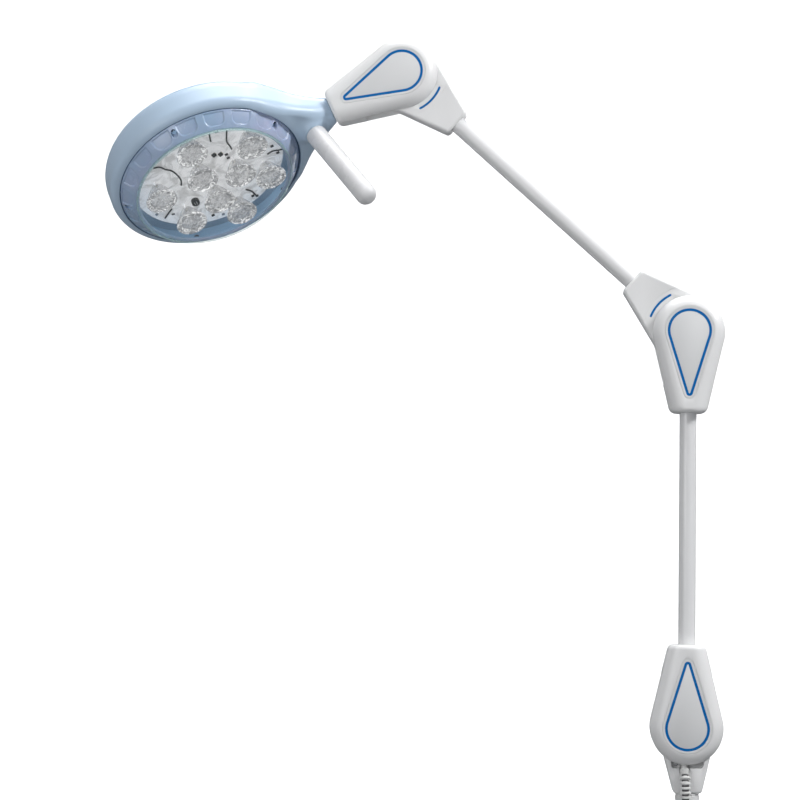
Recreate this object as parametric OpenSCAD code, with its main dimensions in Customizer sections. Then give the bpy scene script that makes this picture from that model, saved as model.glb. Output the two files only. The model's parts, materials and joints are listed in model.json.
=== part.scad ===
// Surgical examination light on a two-part friction arm.
// Millimetres, +Z up. The arm lies in the XZ plane and its hinges turn about Y.
// The origin is the middle of the post's lower pin.

/* [Arm] */
// Distance between the two pivots of each arm
arm_length = 460; // [360:5:600]
// Outer diameter of the arm tubes
tube_d = 20; // [16:1:20]
// Wall of the arm tubes
tube_wall = 1.5; // [1:0.5:3]
// Lean of the lower arm from vertical, away from the head
lower_lean = 1; // [-10:1:10]
// Slope of the upper arm above horizontal
upper_slope = 43; // [35:1:55]

/* [Knuckles] */
// Radius of the round end of a fork
fork_r = 42.6; // [41:0.2:46]
// Distance from the pivot to a fork's narrow end
fork_reach = 95.3; // [92:0.5:105]
// Taper of each side of a fork
fork_taper = 13.4; // [12:0.1:14]
// Thickness of a fork from front to rear
fork_depth = 50; // [48:1:56]
// Rounding of a fork's outer edges
fork_round = 16; // [12:1:16]
// Thickness of the bracket between a fork's cheeks
bracket_depth = 24.6; // [24:0.1:25]
// Diameter of the hinge bolts
bolt_d = 10; // [8:1:12]

/* [Head] */
// Slope of the head's axis below horizontal
head_slope = 25; // [15:1:30]
// Roll of the lit face towards the front, from straight below the axis
head_roll = 26.5; // [0:0.5:45]
// Distance from the head pivot to the middle of the lamp disc
disc_reach = 261; // [255:1:275]
// Outer radius of the lamp disc
disc_r = 122.6; // [120:0.2:130]
// Number of flutes round the front ring
flutes = 20; // [12:1:24]
// Diameter of the handle
handle_d = 25; // [20:1:26]
// Length of the handle
handle_length = 128; // [90:1:150]

/* [Mount and cable] */
// Diameter of the post below its shoulder
pin_d = 25; // [24:1:26]
// Length of the post's lower pin
pin_length = 60; // [40:5:80]
// Outer diameter of the post
post_d = 28; // [27:1:30]
// Diameter of the supply cable
cable_d = 7; // [6:0.5:8]

/* [Hidden] */
$fn = 64;

// Clearances: a running fit, and the gap between faces of bodies that turn past each other
running = 0.05;
gap = 0.3;

// Arm frame
post_top = 110;
washer_t = 2;
base_reach = 75;
shoulder_z = post_top + washer_t + base_reach;
lower_dir = 90 - lower_lean;
upper_dir = 180 - upper_slope;
head_dir = 180 + head_slope;
shoulder = [0, 0, shoulder_z];
elbow = shoulder + arm_length * [cos(lower_dir), 0, sin(lower_dir)];
wrist = elbow + arm_length * [cos(upper_dir), 0, sin(upper_dir)];

// Fork: two half shells, z measured forward from the arm's middle plane
half = fork_depth / 2;
slot_half = bracket_depth / 2 + 0.5;
web_start = 62;
end_round = 5;
side_step = 0.1;
plate_t = 1.5;
plate_floor = half - plate_t - 0.1;
recess_floor = 16.5;
recess_r = 11;
tube_start = 64;
fork_screw_u = 74;
fork_screw_w = 17;

// Drop-shaped cover plate and the blue line in it
line_r = 25.25;
line_tip_r = 3.7;
line_tip_u = 72.8;
line_w = 2.6;
line_t = 0.85;
plate_margin = 3.6;

// Brackets
bracket_r = 42.3;
bracket_taper = 17;
bracket_reach = 90;
bracket_socket = 60;
hub_r = 21;
hub_face = 11.3;
washer_r = 20;
bush_r = 8;
arc_r = 48;
arc_span = 41;
step_r = 54;
step_t = 0.5;
base_r = 34;
base_taper = 14;

// Swivel
spindle_r = 8;
spindle_top = base_reach - 19;
post_bore_r = 10;

// Head, measured from the wrist pivot: x along the head's axis, z out of the lit face
seam_r = 113;
seam_z = 12;
lip_r = 97;
lip_z = 28;
back_z = -36;
back_fillet = 22;
front_fillet = disc_r - seam_r;
wall = 3;
cover_r = 95.7;
collar_s = fork_reach + gap;
roll_r = tube_d / 2;
roll_bush_r = 12;
spindle_end = 125;
handle_lean = 12;
handle_s = 125;
handle_z = 22;
stud_r = 7;
stud_depth = 10;
ledge_z = -7;
button_s = 121;
button_r = 6;
button_hole_r = 6.4;
lens_r = 19.2;
lens_base_z = 2;
lens_face_z = 26;
lens_at = [
    [4, -64], [-62, -30], [64, -14], [9, -15], [-33, 7], [-64, 35], [48, 48], [5, 34], [-11, 72]
];
screw_ring_r = 105.5;
screw_turn = -85;
cover_screw_count = 5;
screw_head_z = 9;
well_h = 14.5;
// Flat recesses round the ring, and the lean of its outer face
flute_w = 24;
flute_l = 15;
flute_depth = 1.5;
flute_lean = 90 - atan2(seam_r - 1.5 - lip_r, lip_z - seam_z);
fin_z = -22;

// Supply cable: straight part first, then the coil and the plug
relief_w = -3;
relief_y = -21.6;
relief_end = 100;
relief_slope = 42;
relief_bend_r = 14.6;
relief_bend_u = 64.4;
relief_core_r = 4.6;
relief_fine = 10.2;
relief_root = 7.8;
relief_pitch = 5.4;
coil_centre = [8, -43, -112];
coil_r = 42;
coil_layers = 2;
coil_turns = 4;
coil_width = coil_turns * cable_d;
coil_depth = coil_layers * cable_d;
coil_outer_r = coil_r + coil_width / 2 + cable_d / 2;
coil_inner_r = coil_r - coil_width / 2 - cable_d / 2;
cable_points = [
    [-3, -21.6, 87], [-3, -22, 78], [-3.5, -22.5, 68], [-4.5, -23.5, 56], [-6, -25, 44],
    [-8.5, -26.5, 32], [-11.5, -28, 20], [-15, -29.5, 7], [-19, -31, -6], [-23.5, -32.5, -20],
    [-28, -34, -34], [-33, -35.5, -48], [-37.5, -37, -62], [-41.5, -38, -76], [-44.5, -39, -88],
    [-46.5, -39.5, -99]
];
cable_sides = 10;
plug_x = coil_centre[0] - coil_r - coil_width / 2;
plug_y = coil_centre[1] - cable_d / 2;
plug_top = -178;
plug_len = 38;

// ---- helpers ----

// Local x runs from the pivot p in direction a of the arm plane, local z points to the front
module in_plane(p, a) {
    translate(p) rotate([0, -a, 0]) rotate([90, 0, 0]) children();
}

// Local x runs along the head's axis, local z out of the lit face
module in_head() {
    in_plane(wrist, head_dir) rotate([head_roll - 90, 0, 0]) children();
}

module lens_places() {
    for (p = lens_at) translate([disc_reach + p[0], p[1], 0]) children();
}

module tube_between(x0, x1, r_out, r_in) {
    translate([x0, 0, 0]) rotate([0, 90, 0]) difference() {
        cylinder(h = x1 - x0, r = r_out);
        translate([0, 0, -1]) cylinder(h = x1 - x0 + 2, r = r_in);
    }
}

module rod_between(x0, x1, r) {
    translate([x0, 0, 0]) rotate([0, 90, 0]) cylinder(h = x1 - x0, r = r);
}

// Points of an arc about c, from angle a to angle b
function arc(c, r, a, b, n = 12) = [for (i = [0:n])
    c + r * [cos(a + (b - a) * i / n), sin(a + (b - a) * i / n)]];

// Profile of a body's side: z up to depth, outer corner rounded by e
module rounded_side(r, depth, e) {
    translate([-80, 0]) square([80 + r - e, depth]);
    translate([-80, 0]) square([80 + r, depth - e]);
    translate([r - e, depth - e]) circle(r = e);
}

module edge_slab(r, depth, e, length) {
    rotate([90, 0, 90]) linear_extrude(length) intersection() {
        rounded_side(r, depth, e);
        translate([-80, 0]) square([80 + r, depth]);
    }
}

// Round end of radius r that tapers to a narrow end, z from 0 to depth, edges rounded by e.
// The tapered sides lie a hair inside the round end's tangents.
module soft_drop(r, t, reach, depth, e, end_e) {
    rotate_extrude() intersection() {
        rounded_side(r, depth, e);
        square([r, depth]);
    }
    intersection() {
        rotate([0, 0, -t]) edge_slab(r - side_step, depth, e, reach + r);
        mirror([0, 1, 0]) rotate([0, 0, -t]) edge_slab(r - side_step, depth, e, reach + r);
        translate([0, 60, 0]) rotate([0, 0, -90]) edge_slab(reach, depth, end_e, 120);
    }
}

// Flat drop outline with round end r1 at the pivot and round tip r2 at distance d
module drop2d(r1, d, r2) {
    lean = acos((r1 - r2) / d);
    polygon(concat(arc([0, 0], r1, lean, 360 - lean, 40), arc([d, 0], r2, -lean, lean, 10)));
}

// ---- knuckle pieces, drawn in the fork's own frame ----

module fork_half(bore_r, bore_start) {
    difference() {
        soft_drop(fork_r, fork_taper, fork_reach, half, fork_round, end_round);
        translate([-60, -60, -1]) cube([60 + web_start, 120, slot_half + 1]);
        rod_between(bore_start, fork_reach + 5, bore_r);
        rod_between(web_start - 1, bore_start + 0.01, bore_start > tube_start ? bore_r + 1.5 : 4);
        translate([0, 0, -1]) cylinder(h = half + 2, r = bolt_d / 2);
        translate([0, 0, recess_floor]) cylinder(h = half, r = recess_r);
        translate([0, 0, plate_floor]) linear_extrude(5)
            drop2d(line_r + plate_margin, line_tip_u, line_tip_r + plate_margin);
        for (w = [-1, 1]) translate([fork_screw_u, w * fork_screw_w, -1]) cylinder(h = 8, r = 2);
    }
}

module fork_front(bore_r = tube_d / 2, bore_start = tube_start) {
    color("white") fork_half(bore_r, bore_start);
}

module fork_rear(bore_r = tube_d / 2, bore_start = tube_start) {
    color("white") difference() {
        mirror([0, 0, 1]) fork_half(bore_r, bore_start);
        for (w = [-1, 1]) translate([fork_screw_u, w * fork_screw_w, -40]) {
            cylinder(h = 41, r = 2);
            cylinder(h = 31, r = 3.8);
        }
    }
}

module plate_one() {
    difference() {
        translate([0, 0, plate_floor]) linear_extrude(plate_t)
            drop2d(line_r + plate_margin - 0.25, line_tip_u, line_tip_r + plate_margin - 0.25);
        translate([0, 0, plate_floor + plate_t - line_t]) linear_extrude(2) line2d();
    }
}

module line2d() {
    difference() {
        drop2d(line_r, line_tip_u, line_tip_r);
        drop2d(line_r - line_w, line_tip_u, line_tip_r - line_w);
    }
}

module plates() {
    color("gainsboro") for (m = [0, 1]) mirror([0, 0, m]) plate_one();
}

module inlays() {
    color("dodgerblue") for (m = [0, 1]) mirror([0, 0, m])
        translate([0, 0, plate_floor + plate_t - line_t]) linear_extrude(line_t) line2d();
}

module hinge_bolt() {
    color("silver") {
        translate([0, 0, -23]) cylinder(h = 23 + recess_floor, r = bolt_d / 2);
        translate([0, 0, recess_floor]) difference() {
            cylinder(h = 6, r = 9);
            translate([0, 0, 3]) cylinder(h = 4, r = 4.6, $fn = 6);
        }
    }
}

module hinge_nut() {
    color("silver") translate([0, 0, -23]) difference() {
        cylinder(h = 4.5, r = 9.8, $fn = 6);
        translate([0, 0, -1]) cylinder(h = 7, r = bolt_d / 2);
    }
}

// Two friction washers beside the bracket and two spring washers under the nut
module hinge_washers() {
    color("dimgray") {
        for (z = [hub_face + gap, -slot_half]) translate([0, 0, z])
            ring(washer_r, bolt_d / 2 + 0.3, slot_half - hub_face - gap);
        for (z = [-recess_floor - 1, -recess_floor - 2]) translate([0, 0, z])
            ring(9, bolt_d / 2 + 0.3, 0.98);
    }
}

module ring(r_out, r_in, h) {
    difference() {
        cylinder(h = h, r = r_out);
        translate([0, 0, -1]) cylinder(h = h + 2, r = r_in);
    }
}

module fork_screws() {
    for (w = [-1, 1]) translate([fork_screw_u, w * fork_screw_w, 0]) {
        translate([0, 0, -9]) cylinder(h = 15.5, r = 2);
        translate([0, 0, -12.5]) difference() {
            cylinder(h = 3.5, r = 3.5);
            translate([0, 0, -1]) cylinder(h = 3, r = 1.7, $fn = 6);
        }
    }
}

module hinge_bush() {
    color("peru") translate([0, 0, -hub_face]) ring(bush_r, bolt_d / 2 + running, 2 * hub_face);
}

// Tongue that turns between a fork's cheeks, without its socket
module tongue(r, t, reach, e) {
    difference() {
        for (m = [0, 1]) mirror([0, 0, m]) soft_drop(r, t, reach, bracket_depth / 2, e, e);
        for (m = [0, 1]) mirror([0, 0, m]) translate([0, 0, hub_face]) cylinder(h = 5, r = hub_r);
        translate([0, 0, -20]) cylinder(h = 40, r = bush_r);
    }
}

module arc_line(r_mid, w, h) {
    rotate([0, 0, -arc_span / 2]) rotate_extrude(angle = arc_span)
        translate([r_mid - w / 2, 0]) square([w, h]);
    for (a = [-1, 1] * arc_span / 2) rotate([0, 0, a]) translate([r_mid, 0, 0]) cylinder(h = h, r = w / 2);
}

module arm_bracket() {
    color("white") difference() {
        tongue(bracket_r, bracket_taper, bracket_reach, 4);
        rod_between(bracket_socket, bracket_reach + 5, tube_d / 2);
        for (m = [0, 1]) mirror([0, 0, m]) translate([0, 0, bracket_depth / 2 - step_t]) {
            cylinder(h = 2, r = step_r);
            translate([0, 0, -line_t]) arc_line(arc_r, line_w, 2);
        }
    }
}

module arc_pair() {
    for (m = [0, 1]) mirror([0, 0, m]) translate([0, 0, bracket_depth / 2 - step_t - line_t])
        arc_line(arc_r, line_w, line_t);
}

// ---- post and base ----

module mount_post() {
    color("white") difference() {
        union() {
            translate([0, 0, pin_length / 2]) cylinder(h = post_top - pin_length / 2, r = post_d / 2);
            translate([0, 0, -pin_length / 2]) cylinder(h = pin_length + 1, r = pin_d / 2);
            translate([0, 0, -pin_length / 2 - 1.5]) cylinder(h = 1.5, r1 = pin_d / 2 - 1.5, r2 = pin_d / 2);
        }
        translate([0, 0, -pin_length / 2 - 5]) cylinder(h = pin_length + 200, r = post_bore_r);
    }
}

module swivel_bushes() {
    color("peru") for (z = [41.3, 94]) translate([0, 0, z]) ring(post_bore_r, spindle_r + running, 16);
}

module base_bracket() {
    color("white") in_plane(shoulder, 270) difference() {
        tongue(base_r, base_taper, base_reach, 3);
        rod_between(spindle_top, base_reach + 5, spindle_r);
        translate([30, -18.6, 4]) linear_extrude(20) pocket2d();
        translate([41.5, -13, -2]) cylinder(h = 7, r = 1.6);
        translate([0, relief_w, 0]) relief_bend() translate([0, 0, -10]) cylinder(h = 28, r = 6.3);
    }
}

// Pocket outline, 16 long and 37 wide, with two round corners
module pocket2d() {
    polygon(concat([[0, 0]], arc([12, 4], 4, -90, 0, 8), arc([12, 33.2], 4, 0, 90, 8), [[0, 37.2]]));
}

module swivel_spindle() {
    color("silver") in_plane(shoulder, 270) difference() {
        rod_between(spindle_top, shoulder_z - 36, spindle_r);
        tube_between(shoulder_z - 41, shoulder_z - 39.5, spindle_r + 1, spindle_r - 1);
    }
}

module thrust_washer() {
    color("dimgray") translate([0, 0, post_top + gap]) ring(post_d / 2 - 0.5, spindle_r, washer_t - gap);
}

module spindle_clip() {
    color("dimgray") translate([0, 0, 39.5]) ring(spindle_r + 1.4, spindle_r - 1, 1.5);
}

module base_hinge_bush() {
    in_plane(shoulder, 270) hinge_bush();
}

module pocket_screw() {
    color("silver") in_plane(shoulder, 270) translate([41.5, -13, 0]) {
        translate([0, 0, -2]) cylinder(h = 6.01, r = 1.6);
        translate([0, 0, 4]) difference() {
            cylinder(h = 1.8, r = 2.8);
            translate([0, 0, 1]) cylinder(h = 2, r = 1.3, $fn = 6);
        }
    }
}

// Slanted out of the pocket, then bent to run down in front of the post
module strain_relief() {
    color("whitesmoke") in_plane(shoulder, 270) translate([0, relief_w, 0]) {
        translate([37, -6, 4]) cube([5, 12, 7.5]);
        relief_bend() {
            relief_rod(0, relief_fine, relief_core_r);
            relief_rod(relief_fine - 0.5, relief_root, 3.6);
            for (d = [0.8:1.8:relief_fine - 1]) relief_rod(d, 1.1, 5.7);
        }
        relief_bend_centre() rotate([0, 0, 90]) rotate_extrude(angle = relief_slope)
            translate([relief_bend_r, 0]) circle(r = relief_core_r);
        relief_bend_centre() for (a = [12, 31]) rotate([0, 0, 90 + a]) translate([relief_bend_r, 0, 0])
            rotate([90, 0, 0]) translate([0, 0, -1.2]) cylinder(h = 2.4, r = 6.4);
        translate([relief_bend_u, 0, -relief_y]) rotate([0, 90, 0]) {
            cylinder(h = relief_end - relief_bend_u - 4, r = relief_core_r);
            translate([0, 0, relief_end - relief_bend_u - 4]) cylinder(h = 4, r1 = relief_core_r, r2 = 4.2);
            for (d = [2:relief_pitch:relief_end - relief_bend_u - 8]) translate([0, 0, d])
                cylinder(h = 3.2, r = 6.6);
        }
    }
}

// Frame at the middle of the relief's bend, turning in its plane
module relief_bend_centre() {
    translate([relief_bend_u, 0, -relief_y - relief_bend_r]) rotate([90, 0, 0]) children();
}

// Frame at the upper end of the bend, local z back along the slanted part
module relief_bend() {
    relief_bend_centre() rotate([0, 0, 90 + relief_slope]) translate([relief_bend_r, 0, 0])
        rotate([-90, 0, 0]) children();
}

module relief_rod(start, length, r) {
    translate([0, 0, start]) cylinder(h = length, r = r);
}

// ---- supply cable ----

// Ring of points of a swept tube: centre p, direction d
function unit(v) = v / norm(v);
function side_axis(d) = unit(cross(d, [0, 1, 0]));
function sweep_ring(p, d) = [for (k = [0:cable_sides - 1])
    p + cable_d / 2 * (cos(360 * k / cable_sides) * side_axis(d)
        + sin(360 * k / cable_sides) * cross(side_axis(d), d))];
function sweep_dir(pts, i) = unit(pts[min(i + 1, len(pts) - 1)] - pts[max(i - 1, 0)]);

module swept(pts) {
    n = cable_sides;
    m = len(pts);
    rings = [for (i = [0:m - 1]) each sweep_ring(pts[i], sweep_dir(pts, i))];
    sides = [for (i = [0:m - 2], k = [0:n - 1])
        [i * n + k, i * n + (k + 1) % n, (i + 1) * n + (k + 1) % n, (i + 1) * n + k]];
    caps = [[for (k = [n - 1:-1:0]) k], [for (k = [0:n - 1]) (m - 1) * n + k]];
    polyhedron(points = rings, faces = concat(sides, caps), convexity = 4);
}

module cable() {
    color("whitesmoke") difference() {
        union() {
            swept(cable_points);
            translate([plug_x, plug_y, plug_top]) cylinder(h = coil_centre[2] - plug_top, r = cable_d / 2);
        }
        translate(coil_centre) rotate([90, 0, 0])
            cylinder(h = coil_depth, r = coil_outer_r, center = true);
    }
}

module cable_coil() {
    color("whitesmoke") translate(coil_centre) rotate([90, 0, 0]) translate([0, 0, -coil_depth / 2])
        ring(coil_outer_r, coil_inner_r, coil_depth);
}

// Strap round the top of the coil
module coil_tie() {
    slack = 0.7;
    strap = 1.2;
    size = [8, coil_depth + slack, coil_outer_r - coil_inner_r + slack];
    color("dimgray") translate(coil_centre + [0, 0, coil_r]) difference() {
        cube(size + [0, 2 * strap, 2 * strap], center = true);
        cube(size + [2, 0, 0], center = true);
    }
}

module power_plug() {
    color("whitesmoke") translate([plug_x, plug_y, plug_top]) {
        translate([0, 0, -18]) cylinder(h = 18, r1 = 9, r2 = 5);
        translate([0, 0, -plug_len]) cylinder(h = plug_len - 18, r = 17);
        translate([0, 0, -18.01]) cylinder(h = 5, r1 = 17, r2 = 9);
    }
}

module plug_pins() {
    color("silver") for (x = [-9.5, 9.5]) translate([plug_x + x, plug_y, plug_top - plug_len - 19])
        cylinder(h = 19, r = 2.4);
}

// ---- lower arm ----

module at_shoulder() { in_plane(shoulder, lower_dir) children(); }
module at_elbow_fork() { in_plane(elbow, lower_dir + 180) children(); }
module at_elbow_bracket() { in_plane(elbow, upper_dir) children(); }
module at_wrist_bracket() { in_plane(wrist, upper_dir + 180) children(); }
module at_wrist() { in_plane(wrist, head_dir) children(); }

module shoulder_fork_front() { at_shoulder() fork_front(); }
module shoulder_fork_rear() { at_shoulder() fork_rear(); }
module shoulder_plates() { at_shoulder() plates(); }
module shoulder_inlays() { at_shoulder() inlays(); }
module shoulder_bolt() { at_shoulder() hinge_bolt(); }
module shoulder_nut() { at_shoulder() hinge_nut(); }
module shoulder_washers() { at_shoulder() hinge_washers(); }

module lower_tube() {
    color("white") at_shoulder()
        tube_between(tube_start, arm_length - tube_start, tube_d / 2, tube_d / 2 - tube_wall);
}

module lower_arm_screws() {
    color("dimgray") {
        at_shoulder() fork_screws();
        at_elbow_fork() fork_screws();
    }
}

module elbow_fork_front() { at_elbow_fork() fork_front(); }
module elbow_fork_rear() { at_elbow_fork() fork_rear(); }
module elbow_plates() { at_elbow_fork() plates(); }
module elbow_inlays() { at_elbow_fork() inlays(); }
module elbow_bolt() { at_elbow_fork() hinge_bolt(); }
module elbow_nut() { at_elbow_fork() hinge_nut(); }
module elbow_washers() { at_elbow_fork() hinge_washers(); }

// ---- upper arm ----

module elbow_bracket() { at_elbow_bracket() arm_bracket(); }
module wrist_bracket() { at_wrist_bracket() arm_bracket(); }

module arc_inlays() {
    color("dodgerblue") {
        at_elbow_bracket() arc_pair();
        at_wrist_bracket() arc_pair();
    }
}

module upper_arm_bushes() {
    at_elbow_bracket() hinge_bush();
    at_wrist_bracket() hinge_bush();
}

module upper_tube() {
    color("white") at_elbow_bracket()
        tube_between(bracket_socket, arm_length - bracket_socket, tube_d / 2, tube_d / 2 - tube_wall);
}

// ---- head knuckle ----

module wrist_fork_front() { at_wrist() fork_front(roll_bush_r, 66); }
module wrist_fork_rear() { at_wrist() fork_rear(roll_bush_r, 66); }
module wrist_plates() { at_wrist() plates(); }
module wrist_inlays() { at_wrist() inlays(); }
module wrist_bolt() { at_wrist() hinge_bolt(); }
module wrist_nut() { at_wrist() hinge_nut(); }
module wrist_washers() { at_wrist() hinge_washers(); }
module knuckle_screws() { color("dimgray") at_wrist() fork_screws(); }

module roll_bush() {
    color("peru") in_head() tube_between(66, fork_reach, roll_bush_r, roll_r + running);
}

// ---- head ----

module roll_spindle() {
    color("silver") in_head() tube_between(63, spindle_end, roll_r, roll_r - 2.5);
}

module spindle_ring() {
    color("dimgray") in_head() tube_between(63.3, 65.6, roll_r + 3, roll_r);
}

// Half section of the lamp disc, moved inwards by w
module disc_section(w) {
    r = disc_r - w;
    back = back_fillet - w;
    front = front_fillet - w;
    translate([0, back_z + w]) square([r - back, seam_z - back_z - 2 * w]);
    translate([0, back_z + back_fillet]) square([r, seam_z - front_fillet - back_z - back_fillet]);
    translate([0, back_z + back_fillet]) square([r - front, seam_z - w - back_z - back_fillet]);
    translate([r - back, back_z + back_fillet]) circle(r = back);
    translate([r - front, seam_z - front_fillet]) circle(r = front);
}

module disc_body(w) {
    translate([disc_reach, 0, 0]) rotate_extrude($fn = 128) disc_section(w);
}

// Four corner rods of a neck section: half width w, from z = -b to z = f, corners of radius r
module neck_section(s, w, b, f, r) {
    for (y = [-w + r, w - r], z = [-b + r, f - r])
        translate([s, y, z]) rotate([0, 90, 0]) cylinder(h = 0.2, r = r, $fn = 32);
}

neck_sections = [
    [collar_s, 15.4, 15.4, 15.4, 15.3], [100, 17.6, 17.6, 17.6, 17.5], [113, 26, 19.5, 17, 15],
    [128, 37.5, 23, 15, 13], [143, 51, 28, 12.5, 12], [166, 73, 33, 11.5, 11]
];

module neck() {
    for (i = [0:len(neck_sections) - 2]) hull() {
        neck_section(neck_sections[i][0], neck_sections[i][1], neck_sections[i][2],
            neck_sections[i][3], neck_sections[i][4]);
        neck_section(neck_sections[i + 1][0], neck_sections[i + 1][1], neck_sections[i + 1][2],
            neck_sections[i + 1][3], neck_sections[i + 1][4]);
    }
}

module along_handle() {
    translate([handle_s, 0, handle_z]) rotate([0, -handle_lean, 0]) children();
}

module head_housing() {
    color("lightsteelblue") in_head() difference() {
        union() {
            disc_body(0);
            neck();
            along_handle() translate([0, 0, -12]) cylinder(h = 12, r1 = 20, r2 = handle_d / 2 + 0.6);
            translate([button_s, 0, -24]) cylinder(h = 12, r = 9);
        }
        disc_body(wall);
        translate([disc_reach, 0, seam_z - wall - 1]) cylinder(h = 10, r = seam_r);
        translate([disc_reach, 0, back_z - 1]) cylinder(h = 10, r = cover_r + 0.3);
        translate([0, 0, -12]) linear_extrude(18) polygon([[150, -30], [175, -42], [175, 42], [150, 30]]);
        rod_between(collar_s - 1, spindle_end, roll_r);
        along_handle() translate([0, 0, -stud_depth]) cylinder(h = stud_depth + 1, r = stud_r);
        translate([button_s, 0, -30]) cylinder(h = 17.5, r = button_hole_r);
    }
    color("lightsteelblue") in_head() translate([disc_reach, 0, ledge_z - wall]) ring(disc_r - 1, 104, wall);
}

module rear_cover() {
    color("lightsteelblue") in_head() translate([disc_reach, 0, 0]) {
        translate([0, 0, back_z - 0.5]) cylinder(h = wall + 0.5, r = cover_r, $fn = 128);
        translate([0, 0, back_z - 2.5]) cylinder(h = 2.01, r1 = cover_r - 12, r2 = cover_r - 2, $fn = 128);
        translate([0, 0, back_z + wall]) cylinder(h = 2, r = cover_r + 4, $fn = 128);
        for (x = [-52, 52], y = [-30, 30]) translate([x, y, back_z + wall])
            cylinder(h = fin_z - back_z - wall, r = 4);
    }
}

module front_ring() {
    color("lightblue") in_head() translate([disc_reach, 0, 0]) difference() {
        union() {
            rotate_extrude($fn = 80) polygon([
                [seam_r - 4.5, -1], [seam_r - 1.5, -1], [seam_r - 1.5, seam_z], [lip_r, lip_z],
                [lip_r - 4.5, lip_z], [lip_r - 4.5, lip_z - 1.5], [seam_r - 4.5, seam_z - 2]
            ]);
            at_cover_screws() translate([0, 0, -1]) cylinder(h = well_h, r = 4.4, $fn = 24);
        }
        for (i = [0:flutes - 1]) rotate([0, 0, screw_turn + 9 + i * 360 / flutes])
            translate([(seam_r - 1.5 + lip_r) / 2, 0, (seam_z + lip_z) / 2]) rotate([0, flute_lean, 0])
            translate([-flute_l / 2, -flute_w / 2, -flute_depth]) cube([flute_l, flute_w, 9]);
        at_cover_screws() translate([0, 0, screw_head_z]) cylinder(h = 30, r = 3.6, $fn = 24);
        at_cover_screws() translate([0, 0, -2]) cylinder(h = 30, r = 1.95, $fn = 24);
    }
}

module at_cover_screws() {
    for (i = [0:cover_screw_count - 1]) rotate([0, 0, screw_turn + i * 360 / cover_screw_count])
        translate([screw_ring_r, 0, 0]) children();
}

module cover_screws() {
    color("dimgray") in_head() translate([disc_reach, 0, 0]) at_cover_screws() {
        translate([0, 0, ledge_z]) cylinder(h = screw_head_z - ledge_z, r = 1.9);
        translate([0, 0, screw_head_z]) cylinder(h = 2.5, r = 3.4);
    }
}

module window_gasket() {
    color("navy") in_head() translate([disc_reach, 0, seam_z - wall - 0.5])
        ring(seam_r - 0.1, seam_r - 1.5, 3.7);
}

module window() {
    color("azure", 0.4) in_head() translate([disc_reach, 0, lip_z]) rotate_extrude($fn = 128) {
        square([lip_r - 1.5, 4]);
        square([lip_r, 2.5]);
        translate([lip_r - 1.5, 2.5]) circle(r = 1.5);
    }
}

// Half length of the cooling fin at distance x from the middle
function fin_half(x) = sqrt(88 * 88 - x * x);

module heat_sink() {
    color("silver") in_head() translate([disc_reach, 0, 0]) {
        difference() {
            translate([0, 0, ledge_z]) cylinder(h = 6, r = seam_r - 1.5, $fn = 128);
            at_cover_screws() translate([0, 0, ledge_z - 1]) cylinder(h = 8, r = 1.9);
        }
        for (i = [-6:6]) translate([i * 13 - 1, -fin_half(i * 13), fin_z])
            cube([2, 2 * fin_half(i * 13), ledge_z - fin_z + 0.5]);
    }
}

module led_board() {
    color("white") in_head() translate([disc_reach, 0, -1]) cylinder(h = 1.6, r = 95, $fn = 128);
}

module led_chips() {
    color("gold") in_head() lens_places() translate([-2.5, -2.5, 0.6]) cube([5, 5, 1.2]);
}

// Collimator cups, narrow at the chip and wide at the face
module lenses() {
    color("azure", 0.6) in_head() lens_places() rotate_extrude() polygon([
        [0, lens_base_z + 2], [4, lens_base_z + 2], [4, lens_base_z], [6, lens_base_z],
        [10.5, lens_base_z + 6], [14.5, lens_base_z + 13], [17.3, lens_base_z + 19.5],
        [lens_r, lens_face_z - 2.5], [lens_r, lens_face_z], [lens_r - 2, lens_face_z],
        [lens_r - 4, lens_face_z - 2], [0, lens_face_z - 2]
    ]);
}

// Driver chips, a round connector and two wire clips on the led board
module board_parts() {
    color("black") in_head() translate([disc_reach, 0, 0.6]) {
        for (p = [[-14, -23], [-21, -18]]) translate([p[0] - 2.5, p[1] - 2.5, 0]) cube([5, 5, 2.5]);
        for (p = [[-27, -12], [-83, 22], [-34, 87]]) translate([p[0] - 2, p[1] - 1.5, 0]) cube([4, 3, 3]);
        translate([39, 46, 0]) cylinder(h = 1.2, r = 5.5);
    }
}

module handle_stud() {
    color("silver") in_head() along_handle() translate([0, 0, -stud_depth])
        cylinder(h = stud_depth + 56.5, r = stud_r);
}

module handle() {
    r = handle_d / 2;
    color("white") in_head() along_handle() translate([0, 0, 0.3]) difference() {
        rotate_extrude() intersection() {
            union() {
                square([r, handle_length - 8]);
                square([r - 8, handle_length]);
                translate([r - 8, handle_length - 8]) circle(r = 8);
            }
            square([r, handle_length]);
        }
        translate([0, 0, -1]) cylinder(h = 57.5, r = stud_r);
    }
}

module power_button() {
    color("gray") in_head() translate([button_s, 0, -25]) cylinder(h = 10.5, r = button_r);
}

mount_post();
swivel_bushes();
base_bracket();
swivel_spindle();
thrust_washer();
spindle_clip();
base_hinge_bush();
pocket_screw();
strain_relief();
cable();
cable_coil();
coil_tie();
power_plug();
plug_pins();
shoulder_fork_front();
shoulder_fork_rear();
shoulder_plates();
shoulder_inlays();
shoulder_bolt();
shoulder_nut();
shoulder_washers();
lower_tube();
lower_arm_screws();
elbow_fork_front();
elbow_fork_rear();
elbow_plates();
elbow_inlays();
elbow_bolt();
elbow_nut();
elbow_washers();
elbow_bracket();
wrist_bracket();
arc_inlays();
upper_arm_bushes();
upper_tube();
wrist_fork_front();
wrist_fork_rear();
wrist_plates();
wrist_inlays();
wrist_bolt();
wrist_nut();
wrist_washers();
knuckle_screws();
roll_bush();
roll_spindle();
spindle_ring();
head_housing();
rear_cover();
front_ring();
window_gasket();
window();
cover_screws();
heat_sink();
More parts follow.
